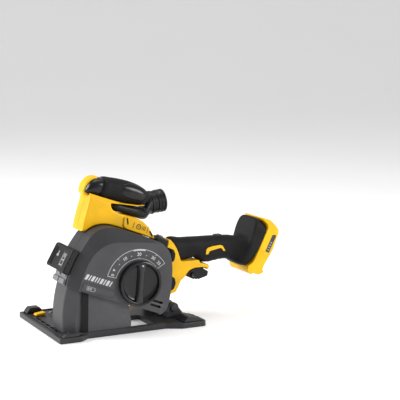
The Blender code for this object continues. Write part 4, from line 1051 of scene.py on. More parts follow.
piece("latch_block", pad(fillet(tool(LATCH), 1.5, 3), -70, 6, 1.0), "latch", "textured",
      ["latch_slider"])
piece("latch_window", latch_patch(-58.5, -38.5, 8.0, 37.0, 0.25), "latch", "gloss")
piece("latch_end_cap", pad(inset(fillet(tool(LATCH), 1.5, 3), 1.4), -70.6, -68.0, 0.4, seam=0.3),
      "latch", "gloss")
signs = [latch_patch(*place) for place in (
    (-56.0, -53.6, 12, 33, 0.5), (-45.2, -42.8, 12, 33, 0.5), (-53.8, -45.0, 12, 14.4, 0.5),
    (-53.8, -45.0, 20.6, 23.0, 0.5), (-51.4, -47.4, 26, 33, 0.5), (-28, -19.5, 24, 28, 1.2),
    (-26, -22.5, 28, 33, 1.2))]
piece("latch_signs", merge(*signs), "latch", "dim_print")


def grip_ridges():
    """A row of upright ridges on the far end of the latch."""
    return merge(*[latch_patch(y, y + 1.3, 7, 38, 0.7) for y in np.arange(-13, 3, 2.6)])


piece("latch_ridges", grip_ridges(), "latch", "textured")


def tab(low, high, v_low, v_high, proud):
    """A rounded tab on the front lip between two depths and two heights."""
    outline = [(-207.4, v_low), (-207.4, v_high), (-207.9 - proud, v_high - 0.6),
               (-207.9 - proud, v_low + 0.6)]
    return pad(fillet(tool(outline), 0.9, 3), low, high, 0.8)


strip = np.concatenate([arc((0, 0), 207.3, 184.2, 179.5, 5), arc((0, 0), 208.9, 179.5, 184.2, 5)])
tabs = [pad(tool(strip), -66, GUARD_SEAM_Y - 0.7, 0.4),
        pad(tool(strip), GUARD_SEAM_Y + 0.7, -17, 0.4)]
for tab_low, tab_high in ((-65, -43.6), (-40.4, -18)):
    tabs += [tab(tab_low, tab_high, -15.0, -5.5, 3.6),
             tab(tab_low + 1.5, tab_high - 3, -2.6, 2.0, 3.0)]
piece("front_tabs", merge(*tabs), "tool", "grey", ["lock_plate"])
print("latch slides", JOINTS["latch_slide"]["range_m"][1] / MM, "mm")

# %% [markdown]
# Rubber bumpers fill the gap between the guard and the handle frame, and take the knocks when
# the tool is laid down.
# %% Bumpers, lock seat and spindle lock button
BUMPERS = {"bumper_upper": [(-54.2, 89.5), (-50, 94.5), (-43.5, 88.5), (-41.2, 80), (-42, 73.5),
                            (-45.6, 73.3), (-49.3, 80.4)],
           "bumper_lower": [(-36.6, 50.5), (-30, 50), (-24.6, 42), (-24.5, 33), (-27.5, 27.5),
                            (-31.0, 28.5)]}
for bumper_name, bumper_line in BUMPERS.items():
    piece(bumper_name + "_soft", pad(tool(fillet(bumper_line, 3.0, 5)), -80, -46, 3.0), "tool",
          "rubber", [bumper_name])

SEAT = [(-67.6, 97.4), (-67.6, 103.5), (-58, 105), (-46.5, 104.5), (-43.6, 99), (-44.5, 92),
        (-49, 84.5), (-54.9, 90.2), (-64.2, 96.9)]
UP = np.array([TIP_SIN, 0, TIP_COS])
BUTTON_FOOT = np.array([tool((-56, 0))[0], -28.0, tool((-56, 0))[1]])


def button_wall():
    """A rounded collar round the button, turned about the tool's upright."""
    return turn([(6.4, 100), (6.4, 105.2), (7.0, 105.9), (8.2, 105.9), (9.0, 105.0), (9.4, 102.0)],
                BUTTON_FOOT, UP, 48)


piece("lock_seat_moulding", pad(tool(fillet(SEAT, 3, 5)), -44, -12, 2.6), "tool", "black",
      ["lock_seat"],
      cuts=[turn([(0, 120), (6.4, 120), (6.4, 97.5), (0, 97.5)], BUTTON_FOOT, UP, 48)])
piece("button_collar", button_wall(), "tool", "gloss", wall=0.8)
piece("spindle_button", turn([(0, 101.2), (5.8, 101.2), (6.0, 102.0), (6.0, 107.0), (5.4, 108.0),
                              (4.2, 108.5), (2.0, 108.1), (0, 107.9)], BUTTON_FOOT, UP, 48),
      "spindle_lock", "grey", ["spindle_lock_button"])
print("bumpers and spindle lock in place")

# %% [markdown]
# ## The yellow arm
# Two halves of the arm meet at the seam that runs down its front. Each is a block with a broadly
# rounded outer edge and a fine groove where the halves meet. Along the back a ridge stands proud
# of the side, with two slots drawn as thin black plates, painted shade for their openings, and an
# embossed sign of a blade.
# %% Arm halves
ARM_RIM = [(-82, 98.8), (-100, 99.0), (-125, 98.9), (-148, 98.5), (-161.2, 97.2), (-172.3, 94.0),
           (-181.4, 88.9), (-188.4, 82.4), (-193.6, 75.2)]
ARM_FRONT = [(-199.5, 74), (-201.8, 88), (-203.2, 104), (-204.2, 120), (-206.0, 133.2)]
ARM_TOP = [(-166, 133.2), (-163.5, 127.5), (-159, 123.4), (-152, 122), (-107, 122), (-95, 119),
           (-84, 113), (-75.5, 106), (-69, 99.2)]
ARM = tool(spline(ARM_RIM + ARM_FRONT + ARM_TOP, 6, crisp=(0, 8, 9, 13, 14, 22)))


def arm_half(outer_y, seam_y):
    """Rings from the flat side over a broad round to the seam, where the outline steps in."""
    out = 1 if outer_y > seam_y else -1
    rings = [at_y(inset(ARM, 7.0), outer_y), at_y(ARM, outer_y), at_y(ARM, seam_y + out * 0.5),
             at_y(inset(ARM, 0.7), seam_y), at_y(inset(ARM, 3), seam_y)]
    rings = rounded(np.array(rings), (6.0, 0.2, 0.2), 8)
    return skin(rings)


piece("arm_near", arm_half(-43, SEAM_Y - 0.15), "tool", "yellow", ["upper_housing_near"], crease=40)
piece("arm_far", arm_half(3, SEAM_Y + 0.15), "tool", "yellow", ["upper_housing_far"], crease=40)
RIDGE = fillet([(-137, 117.5), (-131, 120.6), (-108, 120.6), (-96, 117.6), (-85.5, 111.8),
                (-77.5, 105), (-72.5, 100.4), (-104, 100.6), (-128, 100.6), (-134, 104)], 2.5, 4)
piece("arm_ridge", pad(tool(RIDGE), -45.4, -42, 1.6), "tool", "yellow")
piece("arm_ridge_far", pad(tool(RIDGE), 2, 5.0, 1.6), "tool", "yellow")


def side_plate(outline, y, proud=0.3, edge=0.1):
    """A thin mark on the side of the arm."""
    return pad(tool(outline), y - proud, y + 0.3, edge, seam=0.1)


SLOTS = [capsule((-131.5, 117.0), (-127.4, 109.4), 1.3, 6),
         capsule((-84.6, 108.4), (-78.2, 103.0), 1.5, 6)]
# The slots are not cut: thin black plates stand for them, painted shade of their openings.
piece("arm_slots_painted_shade", merge(*[side_plate(slot, -45.4) for slot in SLOTS]), "tool", "black")


def blade_sign(centre=(-107, 110.2), y=-45.4):
    """A toothed ring with a hub dot and three groove lines beside it, between two brackets."""
    a = np.linspace(0, 2 * math.pi, 96, endpoint=False)
    teeth = 4.4 + 0.35 * np.sign(np.sin(8 * a))
    outer = np.array(centre) + teeth[:, None] * np.stack([np.cos(a), np.sin(a)], -1)
    inner = arc(centre, 3.1, 0, 356.25, 96)
    ring = [at_y(tool(outer), y + 0.2), at_y(tool(outer), y - 0.3), at_y(tool(inner), y - 0.3),
            at_y(tool(inner), y + 0.2)]
    parts = [tube(ring), side_plate(arc(centre, 1.1, 0, 345, 16), y)]
    u, v = centre
    for k in range(3):
        parts.append(side_plate([(u + 6.6 + k * 2.6, v - 3.5), (u + 7.5 + k * 2.6, v - 3.5),
                                 (u + 7.5 + k * 2.6, v + 3.5), (u + 6.6 + k * 2.6, v + 3.5)], y,
                                edge=0.05))
    for side in (-1, 1):
        x = u + 3.5 + side * 13.5
        parts.append(side_plate([(x - 0.4, v - 5), (x + 0.4, v - 5), (x + 0.4, v + 5),
                                 (x - 0.4, v + 5)], y, edge=0.05))
    return merge(*parts)


piece("arm_sign", blade_sign(), "tool", "black")
print("arm:", len(ARM), "points round")

# %% [markdown]
# ## The front grip
# The palm grip lies across the top of the arm. A yellow core runs under it and wraps its front
# end, a glossy sleeve follows, and behind a shadow gap the rubber dome swells to the palm rest.
# All are rounded-box sections carried along the grip; only their sizes change.
# %% Front grip
def grip_rings(rows, per=7, count=72):
    """Sections from (bottom, top, half width) rows, with smooth steps in between."""
    rings = np.array([oval_ring(tool(low), tool(high), SEAM_Y, half, count=count)
                      for low, high, half in rows])
    return spline(rings, per, closed=False)


CORE = fillet([(-204, 131), (-206, 136.4), (-150, 138.0), (-118, 143.7), (-107, 147.2),
               (-109, 145.4), (-122, 141.4), (-150, 136.0), (-170, 131)], 1.2, 4)
piece("grip_core", pad(tool(CORE), -41.8, 1.8, 1.4), "tool", "yellow", ["front_grip_core"])
SPINE = [(-204, 131), (-213.6, 131), (-216.6, 137), (-216.9, 146), (-215.4, 152.6), (-211.8, 159.2),
         (-206.4, 164.2), (-199.0, 167.0), (-198.0, 163), (-204, 150)]
SLEEVE = [((-214.6, 140.0), (-212.0, 151.5), 8.0), ((-214.4, 137.0), (-210.0, 156.4), 13.5),
          ((-213.0, 134.6), (-206.6, 160.6), 18.0), ((-209.6, 133.5), (-202.6, 163.4), 20.6),
          ((-204, 133.3), (-197.5, 165.2), 21.7), ((-195.5, 133.6), (-191.5, 166.5), 22.0),
          ((-191.5, 133.9), (-190.0, 166.8), 21.8), ((-190.4, 134.8), (-189.2, 166.0), 21.0),
          ((-190.0, 137.0), (-189.0, 164.0), 19.0)]
DOME = [((-185.4, 139.5), (-187.2, 163.5), 17.5), ((-186.6, 136.2), (-188.4, 166.4), 20.6),
        ((-184.6, 135.1), (-186.6, 168.2), 22.2), ((-172, 136.2), (-172, 172.2), 23.0),
        ((-150, 138.7), (-152, 175.3), 23.4), ((-132, 141.5), (-134, 176.3), 23.4),
        ((-119, 143.7), (-119, 174.7), 22.4), ((-109, 146.0), (-107.5, 171.2), 19.8),
        ((-103, 149.4), (-101, 167.2), 15.6), ((-99.8, 153.2), (-98.6, 163.4), 9.5),
        ((-98.8, 156.8), (-98.2, 159.8), 2.5)]
GAP = [((-195, 136.0), (-193, 164.6), 19.4), ((-186, 136.6), (-186, 166.0), 19.8),
       ((-180, 137.4), (-180, 168.0), 19.6)]
piece("grip_front_cap", pad(tool(fillet(SPINE, 4, 5)), SEAM_Y - 11.5, SEAM_Y + 11.5, 4.0), "tool",
      "yellow")
piece("grip_sleeve", skin(grip_rings(SLEEVE)), "tool", "gloss", ["grip_end_sleeve"], weighted=False)
piece("grip_shadow_gap", skin(grip_rings(GAP)), "tool", "black", weighted=False)
DOME_RINGS = grip_rings(DOME, 8, 88)
piece("grip_dome_soft", skin(DOME_RINGS), "tool", "rubber", ["grip_dome"], weighted=False)


def lay_on(rings, i, j, lift):
    """Places on a skin at fractional ring i and point j, weighted between the four nearest points
    and raised by the lift along the skin's normal, the cross product of its two directions."""
    columns = rings.shape[1]
    row = np.clip(np.floor(i).astype(int), 0, len(rings) - 2)
    column = np.floor(j).astype(int)
    s, t = (i - row)[..., None], (j - column)[..., None]
    a, b = rings[row, column % columns], rings[row, (column + 1) % columns]
    c, d = rings[row + 1, column % columns], rings[row + 1, (column + 1) % columns]
    place = (1 - s) * ((1 - t) * a + t * b) + s * ((1 - t) * c + t * d)
    normal = np.cross((1 - s) * (b - a) + s * (d - c), (1 - t) * (c - a) + t * (d - b))
    outward = np.sign(np.sum(normal * (place - rings.mean(1)[row]), -1, keepdims=True))
    return place + normal / length(normal) * outward * np.asarray(lift)[..., None]


def oval_patch(rings, i, j, half_i, half_j, rise, sink=0.6):
    """An oval pad on a skin: radius r from 0 to 1, raised by rise (1 - r^8), its rim let in."""
    t = np.linspace(0, 2 * math.pi, 72, endpoint=False)
    r = np.array([0.02, 0.3, 0.55, 0.75, 0.88, 0.95, 0.99, 1.0])[:, None]
    lift = rise * (1 - r ** 8) - sink * r ** 40 + 0 * t
    return skin(lay_on(rings, i + half_i * r * np.cos(t), j + half_j * r * np.sin(t), lift),
                caps=(True, True))


piece("palm_oval", oval_patch(DOME_RINGS, 42.0, 40.5, 12.5, 11.5, 0.7), "tool", "gloss",
      weighted=False)
# The strap hole is not cut: a dark glossy disc stands for it, painted shade of the hole.
piece("grip_strap_hole_painted_shade", oval_patch(DOME_RINGS, 38.0, 27.0, 1.8, 2.0, 0.35), "tool", "gloss",
      weighted=False)
print("front grip is", 2 * max(half for _, _, half in DOME), "mm wide")

# %% [markdown]
# ## Dust outlet
# Dust leaves through a duct that bends to the side and rises to a round port. The duct is a row
# of sections that change from a flat oval to a circle. The cuff on its end swivels, and has a
# rounded lip and two grip bands for the hose.
# %% Elbow and cuff
CUFF_AXIS = np.array(JOINTS["dust_cuff_swivel"]["axis"], float)
PORT_TILT = math.radians(28.0)
PORT_START, PORT_R = np.array([-83.0, 153.0]), 19.0


def port_ring(distance, radius, count=72):
    """A circle round the port's axis, at a distance along it."""
    along = np.array([math.cos(PORT_TILT), math.sin(PORT_TILT)])
    up = np.array([-along[1], along[0]])
    middle = PORT_START + along * distance
    return oval_ring(tool(middle - up * radius), tool(middle + up * radius), 0.0, radius, 2.0,
                     count)


def elbow_rings():
    """Flat ovals under the grip, one on the bend, then circles up to the cuff, smoothly joined."""
    flat_part = [(-160, 128.0, 134.6, -20, 15), (-157, 124.6, 136.0, -20, 18.5),
                 (-135, 122.6, 138.8, -19, 19.5), (-108, 122.8, 141.5, -16, 19.5)]
    rings = [oval_ring(tool((u, low)), tool((u, high)), y, half, count=72)
             for u, low, high, y, half in flat_part]
    rings.append(oval_ring(tool((-87, 124.5)), tool((-98, 143)), -7, 19, 2.3, 72))
    rings += [port_ring(0, PORT_R), port_ring(8, PORT_R)]
    return np.concatenate([spline(np.array(rings), 7, closed=False),
                           [port_ring(11.4, PORT_R), port_ring(12, PORT_R - 0.6)]])


def elbow():
    """The outside of the duct, its lip and the start of its bore, as one closed skin."""
    outside = elbow_rings()
    mouth = [port_ring(12, PORT_R - 2.5), port_ring(4, PORT_R - 2.5), port_ring(-4, PORT_R - 3.2)]
    return skin(np.concatenate([outside, mouth]))


piece("dust_elbow_moulding", elbow(), "tool", "black", ["dust_elbow"], weighted=False)
bands = [port_ring(d, PORT_R + g) for d, g in ((1.2, -0.2), (1.6, 1.0), (4.4, 1.0), (4.8, -0.2))]
piece("elbow_band", tube(bands), "tool", "black")


def cuff_profile():
    """Outer side with two bands and a groove between, then the lip and the bore."""
    r = PORT_R
    outer = [(12.3, r - 0.4), (12.8, r + 0.5), (16.0, r + 0.6), (16.5, r - 0.2), (17.6, r - 0.2),
             (18.1, r + 0.5), (21.8, r + 0.6), (22.3, r - 0.3), (23.2, r - 0.3), (23.7, r + 0.6),
             (26.2, r + 0.6), (26.9, r + 0.1), (27.0, r - 0.8), (27.0, r - 1.6), (26.4, r - 2.5),
             (12.3, r - 2.5)]
    return [(radius, height) for height, radius in outer]


PORT_FOOT = np.array([tool(PORT_START)[0], 0.0, tool(PORT_START)[1]])
cuff_line = cuff_profile()
piece("dust_cuff_moulding", turn(cuff_line + [cuff_line[0]], PORT_FOOT, CUFF_AXIS, 80), "cuff",
      "black", ["dust_cuff"])


def cuff_lugs():
    """Three short grip lugs round the cuff, so that its turning can be felt."""
    lugs = []
    side = np.cross(CUFF_AXIS, (0.0, 1.0, 0.0))
    up = np.cross(CUFF_AXIS, side)
    section = ((PORT_R - 0.3, 18.2), (PORT_R + 1.0, 18.9), (PORT_R + 1.0, 21.2),
               (PORT_R - 0.3, 21.8))
    for k in range(3):
        a = np.radians(np.linspace(-7, 7, 9) + 120 * k + 30)
        way = np.cos(a)[:, None] * side + np.sin(a)[:, None] * up
        ring = [PORT_FOOT + h * CUFF_AXIS + r * way for r, h in section]
        lugs.append(skin(np.array(ring).transpose(1, 0, 2)))
    return merge(*lugs)


piece("cuff_lugs", cuff_lugs(), "cuff", "black")
print("port is", PORT_R * 2, "mm across, cuff axis", [round(float(c), 3) for c in CUFF_AXIS])

# %% [markdown]
# ## Handle frame
# The yellow frame joins the guard to the grip: a collar, a block, and a strip over the trigger
# that ends in a small hook. It is in two halves like the arm, and has a room for the trigger.
# %% Handle frame and trigger
FRAME_LINE = [(-3.2, 132), (-2.6, 139.5), (1, 139.3), (8.5, 131.0), (14.5, 120), (18.4, 109),
              (20.8, 99.8), (55.6, 99.3), (56.8, 94), (74.8, 89.5), (73.4, 81.1), (70.6, 81.4),
              (69.4, 85), (62, 86.6), (47, 86.4), (37, 83.4), (31, 77), (27, 71), (21, 67.5),
              (16, 56.4), (11, 48.2), (-4, 44), (-13, 50), (-12, 70), (-10, 96), (-9.5, 112),
              (-6.2, 124)]
FRAME = fillet(level(FRAME_LINE), 2.6, 4)


def trigger_room():
    """The box that is cut out of both halves of the frame, for the trigger to move in."""
    line = level([(32, 60), (71.2, 60), (71.2, 96.2), (32, 96.2)])
    return skin([at_y(line, -31.6), at_y(line, -8.4)])


def frame_half(outer_y, seam_y):
    """Rings from the flat side over its rounded edge to the seam, as for the arm."""
    out = 1 if outer_y > seam_y else -1
    rings = [at_y(inset(FRAME, 2.4), outer_y), at_y(FRAME, outer_y),
             at_y(FRAME, seam_y + out * 0.5),
             at_y(inset(FRAME, 0.6), seam_y)]
    return skin(rounded(np.array(rings), (1.9, 0.2), 5))


piece("handle_frame_near_half", frame_half(-40, SEAM_Y - 0.15), "tool", "yellow",
      ["handle_frame_near"],
      cuts=[trigger_room()], crease=40)
piece("handle_frame_far_half", frame_half(0, SEAM_Y + 0.15), "tool", "yellow", ["handle_frame_far"],
      cuts=[trigger_room()], crease=40)

TRIGGER_LINE = [(36, 71), (37.5, 77), (42, 81), (48, 83.6), (55, 85), (57.6, 88), (58, 91.5),
                (60.5, 93.2), (63.5, 93.2), (66.2, 91.2), (66.6, 84), (70, 80.4), (77.5, 76.2),
                (76, 68), (60, 64), (46, 66)]
LOCK_PLACE = level((47, 73))
piece("trigger_moulding", pad(fillet(level(TRIGGER_LINE), 2.2, 4), -31, -9, 2.2), "trigger",
      "black", ["trigger"],
      cuts=[skin([at_y(arc(LOCK_PLACE, 4.3, 0, 350, 36), y) for y in (-40, 0)])])


def trigger_ribs():
    """Rounded bars across the underside of the trigger, each a short capsule from side to side."""
    places = level([(50, 65.2), (55, 64.4), (60, 63.9), (65, 65.1), (70, 66.3)])
    return merge(*[pad(arc(place, 1.0, 0, 330, 12), -29, -11, 0.5, seam=0.2) for place in places])


piece("trigger_ribs", trigger_ribs(), "trigger", "black")
piece("lock_off_pin", turn([(0, 15), (3.2, 15), (4, 14.2), (4, -14), (3.2, -15), (2.4, -14.6),
                            (0, -14.4)],
                           (LOCK_PLACE[0], SEAM_Y, LOCK_PLACE[1]), (0, 1, 0), 36), "lock_off",
      "gloss", ["lock_off_button"])
print("trigger hangs", round(float(FRAME[:, 1].min()), 1), "mm above the floor at its frame")

# %% [markdown]
# ## Rear handle
# The handle is one soft skin: rounded sections run straight back from the collar, then swing
# upwards and widen into the flare that meets the battery foot. A raised welt runs along its top,
# and shallow rings under the fingers give hold.
# %% Handle grip
HANDLE_ROWS = [((12, 101.5), (1.5, 134.5), 15.8, 2.6), ((16, 99.6), (4.0, 137.8), 17.6, 2.6),
               ((34, 99.6), (30, 137.6), 18.0, 2.6), ((56.2, 99.8), (56, 136.8), 17.6, 2.6),
               ((60.6, 94.6), (62, 136.6), 17.4, 2.6), ((76, 91.0), (80, 136.2), 17.4, 2.6),
               ((99, 93.4), (102, 135.4), 17.6, 2.6), ((114, 93.4), (124, 133.8), 18.6, 2.7),
               ((122, 90.0), (138, 131.2), 22.0, 3.2), ((128, 86.2), (149, 131.8), 28.0, 4.0),
               ((134, 83.2), (154.4, 143), 31.8, 4.6), ((141, 81.8), (157.6, 156), 33.2, 4.8),
               ((150, 86.4), (163, 164.0), 33.4, 4.8), ((161, 99.4), (172.5, 160.0), 33.2, 4.8),
               ((172, 117.0), (182, 150.5), 32.0, 4.6)]


def handle_rings(per=6, count=96):
    """The handle's rounded-box sections, with smooth steps in between."""
    rings = np.array([oval_ring(level(low), level(high), SEAM_Y, half, power, count)
                      for low, high, half, power in HANDLE_ROWS])
    return spline(rings, per, closed=False)


def make_handle():
    """Finger rings: the underside moves in by 0.3 (1 + sin) along the straight part."""
    rings = handle_rings()
    x = rings[:, :, 0].mean(1)
    straight = np.clip((x - PIVOT[0] - 64) / 6, 0, 1) * np.clip((PIVOT[0] + 112 - x) / 6, 0, 1)
    wave = 0.3 * (1 + np.sin((x - PIVOT[0]) * 2 * math.pi / 5.2)) * straight
    middle = rings.mean(1, keepdims=True)
    low = np.clip((middle[..., 2] - rings[..., 2]) / 16 - 0.35, 0, 1)
    away = (rings - middle) / np.maximum(np.linalg.norm(rings - middle, axis=-1, keepdims=True),
                                         1e-6)
    return skin(rings - away * (wave[:, None] * low)[..., None])


piece("handle_grip_skin", make_handle(), "tool", "grip", ["handle_grip"], weighted=False)


def top_welt():
    """A low ridge that follows the highest line of the handle, with a half-round section."""
    rings = handle_rings()[10:44]
    crest = rings[np.arange(len(rings)), rings[:, :, 2].argmax(1)]
    crest[:, 1] = SEAM_Y
    a = np.linspace(0, 2 * math.pi, 12, endpoint=False)
    ease = np.sin(np.linspace(0, math.pi, len(crest))).clip(0, 1)[:, None] ** 0.3
    return skin(np.stack([crest[:, :1] + 0 * a, crest[:, 1:2] + 1.5 * ease * np.cos(a),
                          crest[:, 2:] + 0.55 * ease * np.sin(a)], -1))


piece("handle_welt", top_welt(), "tool", "gloss", weighted=False)


def chevrons():
    """Three low bent bars across the top of the handle where the palm rests."""
    parts = []
    for x in (99, 103, 107):
        path = np.array([(x - 2.0, -9.0), (x, 0.0), (x - 2.0, 9.0)])
        outline = np.concatenate([path + [0.8, 0], path[::-1] - [0.8, 0]]) + [PIVOT[0], SEAM_Y]
        parts.append(pad(outline, 134.2, 136.7, 0.3, lay=at_z, seam=0.1))
    return merge(*parts)


piece("palm_chevrons", chevrons(), "tool", "gloss")
INLAY = [(68.6, 107.4), (69.6, 115.6), (73, 118.6), (82, 120.4), (97.5, 121.4), (101.5, 119.4),
         (106.4, 110.6), (102.6, 110.4), (100.4, 114.4), (97, 116.4), (76, 112.6), (73.4, 107.4)]
piece("handle_insert", pad(fillet(level(INLAY), 0.8, 4), -38.9, -36.4, 0.7, seam=0.3), "tool",
      "yellow", ["handle_inlay"])
print("handle grip:", len(HANDLE_ROWS), "sections")

# %% [markdown]
# ## Battery foot
# The foot is a yellow shell round a slot that is open at the rear and below. Rails run down both
# walls of the slot, the terminal block stands on its floor, and a dark label lies on the side.
# %% Foot, rails, terminals and label
FOOT_IN = [(143.5, 83.5), (152.8, 88.4), (162.2, 105.6), (174.6, 130), (183.0, 147.2),
           (180.5, 154.6), (173.5, 160.2)]
FOOT_OUT = [(172.5, 164.8), (188, 159.8), (200, 147.5), (205, 139.7), (192.3, 107), (176.3, 83.3),
            (171.4, 75), (174.5, 69), (166.4, 65.5), (158, 67.2), (155, 70.0), (149.5, 67),
            (143.4, 70.5), (141.6, 76.0), (142.2, 81)]
RAIL_LOW, RAIL_TOP = np.array([171.4, 75.0]), np.array([205.0, 139.7])
RAIL_UP = (RAIL_TOP - RAIL_LOW) / np.linalg.norm(RAIL_TOP - RAIL_LOW)
RAIL_IN = np.array([-RAIL_UP[1], RAIL_UP[0]])


def foot_at(points):
    """(distance up the rear face, depth in from it) points, on the shoe's level frame."""
    p = np.asarray(points, float)
    return level(RAIL_LOW + p[..., :1] * RAIL_UP + p[..., 1:] * RAIL_IN)


def foot_block(corners, low, high, edge=0.5, seam=0.3):
    """A block in the foot's slot, given by (up, in) corners on the foot's rear face."""
    return pad(fillet(foot_at(corners), 0.8, 3), low, high, edge, seam=seam)


slot_line = foot_at([(-14, -8), (66, -8), (66, 11), (-14, 11)])
foot_line = fillet(level(FOOT_IN + FOOT_OUT), 5.0, 5)
piece("battery_foot_shell", pad(foot_line, -54, 14, 2.4, seam=0.4), "tool", "yellow",
      ["battery_foot"],
      cuts=[skin([at_y(slot_line, -46), at_y(slot_line, 6)])], crease=38)
rails = [foot_block([(-8, 2.6), (62, 2.6), (62, 4.8), (-8, 4.8)], low, high)
         for low, high in ((-46.2, -43.4), (3.4, 6.2))]
piece("battery_rails", merge(*rails), "tool", "black")
piece("slot_floor", foot_block([(-6, 10.0), (65, 10.0), (65, 11.2), (-6, 11.2)], -45.6, 5.6, 0.2),
      "tool", "black")
refined("terminal_block", "gloss", 0.5)
TERMINAL_DEPTHS = (-33, -27, -20, -13, -7)
piece("terminal_blades", merge(*[foot_block([(22, 1.6), (46, 1.6), (46, 3.6), (22, 3.6)], y - 0.6,
                                            y + 0.6, 0.2, 0.1)
                                 for y in TERMINAL_DEPTHS]), "tool", "zinc")
LABEL = [(30, 1.8), (61.5, 1.8), (64, 4.2), (61, 9.6), (30, 9.6)]
piece("rating_label", foot_block(LABEL, -54.35, -53.7, 0.15), "tool", "label")
blocks = [foot_block([(up, 3.6), (up + 2.4, 3.6), (up + 2.4, 8.0), (up, 8.0)], -54.55, -54.2, 0.05,
                     0.05)
          for up in (33.0, 37.6, 42.2, 46.8)]
piece("label_blocks", merge(*blocks), "tool", "dim_print")
print("battery slot floor is", round(float(np.linalg.norm(RAIL_TOP - RAIL_LOW)), 1), "mm long")

# %% [markdown]
# ## Motor side
# The motor sits across the tool on the far side. Its yellow can has cooling ribs, the black cap
# has air slots, and the gear case is an alloy casting with ribs and screws round its edge.
# %% Motor, gear case and pivot
MOTOR_R = 36.5


def can_ripple(angle, row):
    """24 flat-topped ribs along the can, with grooves 1.1 deep between them: 0.55 (c - 1), where c
    is 3 cos 24a kept between -1 and 1, on the middle rows."""
    rib = np.clip(np.cos(24 * angle) * 3, -1, 1)
    return np.where((row >= 3) & (row <= 4), 0.55 * rib - 0.55, 0.0)


can = [(MOTOR_R - 3.2, 42.3), (MOTOR_R, 42.3), (MOTOR_R, 48.0), (MOTOR_R - 0.1, 49.0),
       (MOTOR_R - 0.1, 81.0), (MOTOR_R, 82.0), (MOTOR_R, 90.0), (MOTOR_R - 3.2, 90.0),
       (MOTOR_R - 3.2, 42.3)]
piece("motor_can", turn(can, (MOTOR[0], 0, MOTOR[1]), (0, 1, 0), 288, can_ripple), "tool", "yellow",
      ["motor_housing"])
refined("motor_cap", "black", 0.7)
refined("gear_case", "casting", 0.8)
refined("gear_cover", "casting", 0.8)
refined("pivot_bracket", "casting", 0.9)


def case_ribs():
    """Short webs round the spindle boss of the gear case, each a thin block along a radius."""
    parts = []
    for a in np.radians([150, 180, 210, 240, 270]):
        way = np.array([math.cos(a), math.sin(a)])
        side = np.array([-way[1], way[0]])
        web = [SPINDLE + way * r + side * w for r, w in ((24.2, -1.2), (26.0, -1.0), (26.0, 1.0),
                                                         (24.2, 1.2))]
        parts.append(pad(np.array(web), 6, 34, 0.4, seam=0.1))
    return merge(*parts)


piece("gear_case_ribs", case_ribs(), "tool", "casting")
print("motor can has 24 ribs")

# %% [markdown]
# ## Screws
# One screw is made as an array: a pan head with a six-pointed socket. Every other screw is the
# same array moved to its place, and turned over where its head faces the other way.
# %% Screws
def screw_head(radius=3.0, height=1.5, sides=24):
    """Rings from under the head over its edge to the rim of the socket and down to its floor; the
    socket's radius is r (1 + 0.14 cos 6a)."""
    a = np.linspace(0, 2 * math.pi, sides, endpoint=False)
    star = 0.52 * radius * (1 + 0.14 * np.cos(6 * a))
    rows = [(radius + 0 * a, 0.3), (radius + 0 * a, -0.6 * height),
            (0.82 * radius + 0 * a, -height), (star * 1.08, -height), (star, -0.9 * height),
            (star * 0.92, -0.2 * height)]
    return np.array([np.stack([r * np.cos(a), 0 * a + y, r * np.sin(a)], -1) for r, y in rows])


def screws(places, radius=3.0, far=False):
    """The same head at every place; on the far side it is turned over."""
    head = screw_head(radius) * ([1, -1, 1] if far else [1, 1, 1])
    return merge(*[skin(head + np.array([x, y, z]), caps=(False, True)) for x, y, z in places])


def tool_spot(u, v, y):
    """A place on the tool at a depth, as (x, y, z)."""
    x, z = tool((u, v))
    return (x, y, z)


def around(centre, radius, angles, y):
    """Places on a circle at these angles, at a depth."""
    turned = np.radians(angles)
    return [(centre[0] + radius * math.cos(a), y, centre[1] + radius * math.sin(a)) for a in turned]


far_screws = ([tool_spot(-178, 58, 4), tool_spot(-60, 84, 4), tool_spot(-182, -6, 4),
               tool_spot(-48, 30, 4)]
              + [tool_spot(-193, 112, 3), tool_spot(-170, 108, 3), tool_spot(-120, 110, 5)]
              + [(level((4, 60))[0], 0.2, 60)])
case_screws = [tool_spot(-149, -11, 42), tool_spot(-149, 20, 42), tool_spot(-113, -11, 42)]
cap_screws = around(MOTOR, 31.5, (65, 185, 305), 99)
SHOE_SCREW = [(0, SHOE_TOP + 3.0), (1.2, SHOE_TOP + 3.0), (1.5, SHOE_TOP + 3.9),
              (2.6, SHOE_TOP + 3.9), (3.0, SHOE_TOP + 3.2), (3.0, SHOE_TOP + 2.0)]
shoe_screws = [turn(SHOE_SCREW, (*level((x, 0))[:1], y, 0), (0, 0, 1), 24)
               for x, y in ((-60, 30), (-60, 52), (-178, 30), (-178, 60))]
piece("case_screws", screws(case_screws, 2.6, True), "tool", "zinc")
piece("housing_screws", screws(far_screws, 3.0, True), "tool", "zinc")
piece("cap_screws", screws(cap_screws, 2.4, True), "tool", "zinc")
piece("shoe_screws", merge(*shoe_screws), "shoe", "zinc")
print("screws:", len(far_screws + case_screws + cap_screws + shoe_screws))

# %% [markdown]
# ## Solid parts that keep their shape
# The drive train and the springs are already right, and only need a finish.
# %% Finishes for the drive train
KEPT = {"steel": ("spindle_gear", "pinion", "spindle_bearing_near", "spindle_bearing_far",
                  "rotor_bearing_front", "rotor_bearing_rear", "spindle", "blade_spacer",
                  "plunge_spring", "trigger_pin", "trigger_spring", "depth_cam"),
        "blade": ("blade_near", "blade_far"), "dark_steel": ("rotor", "inner_flange", "flange_nut"),
        "copper": ("stator",), "black": ("fan", "switch_module"), "grey": ("control_module",)}
for finish_name, node_names in KEPT.items():
    for node_name in node_names:
        mesh = frame["nodes"][node_name].data
        mesh.materials.clear()
        mesh.materials.append(FINISH[finish_name][0])
print("kept:", sum(len(v) for v in KEPT.values()), "solid parts")

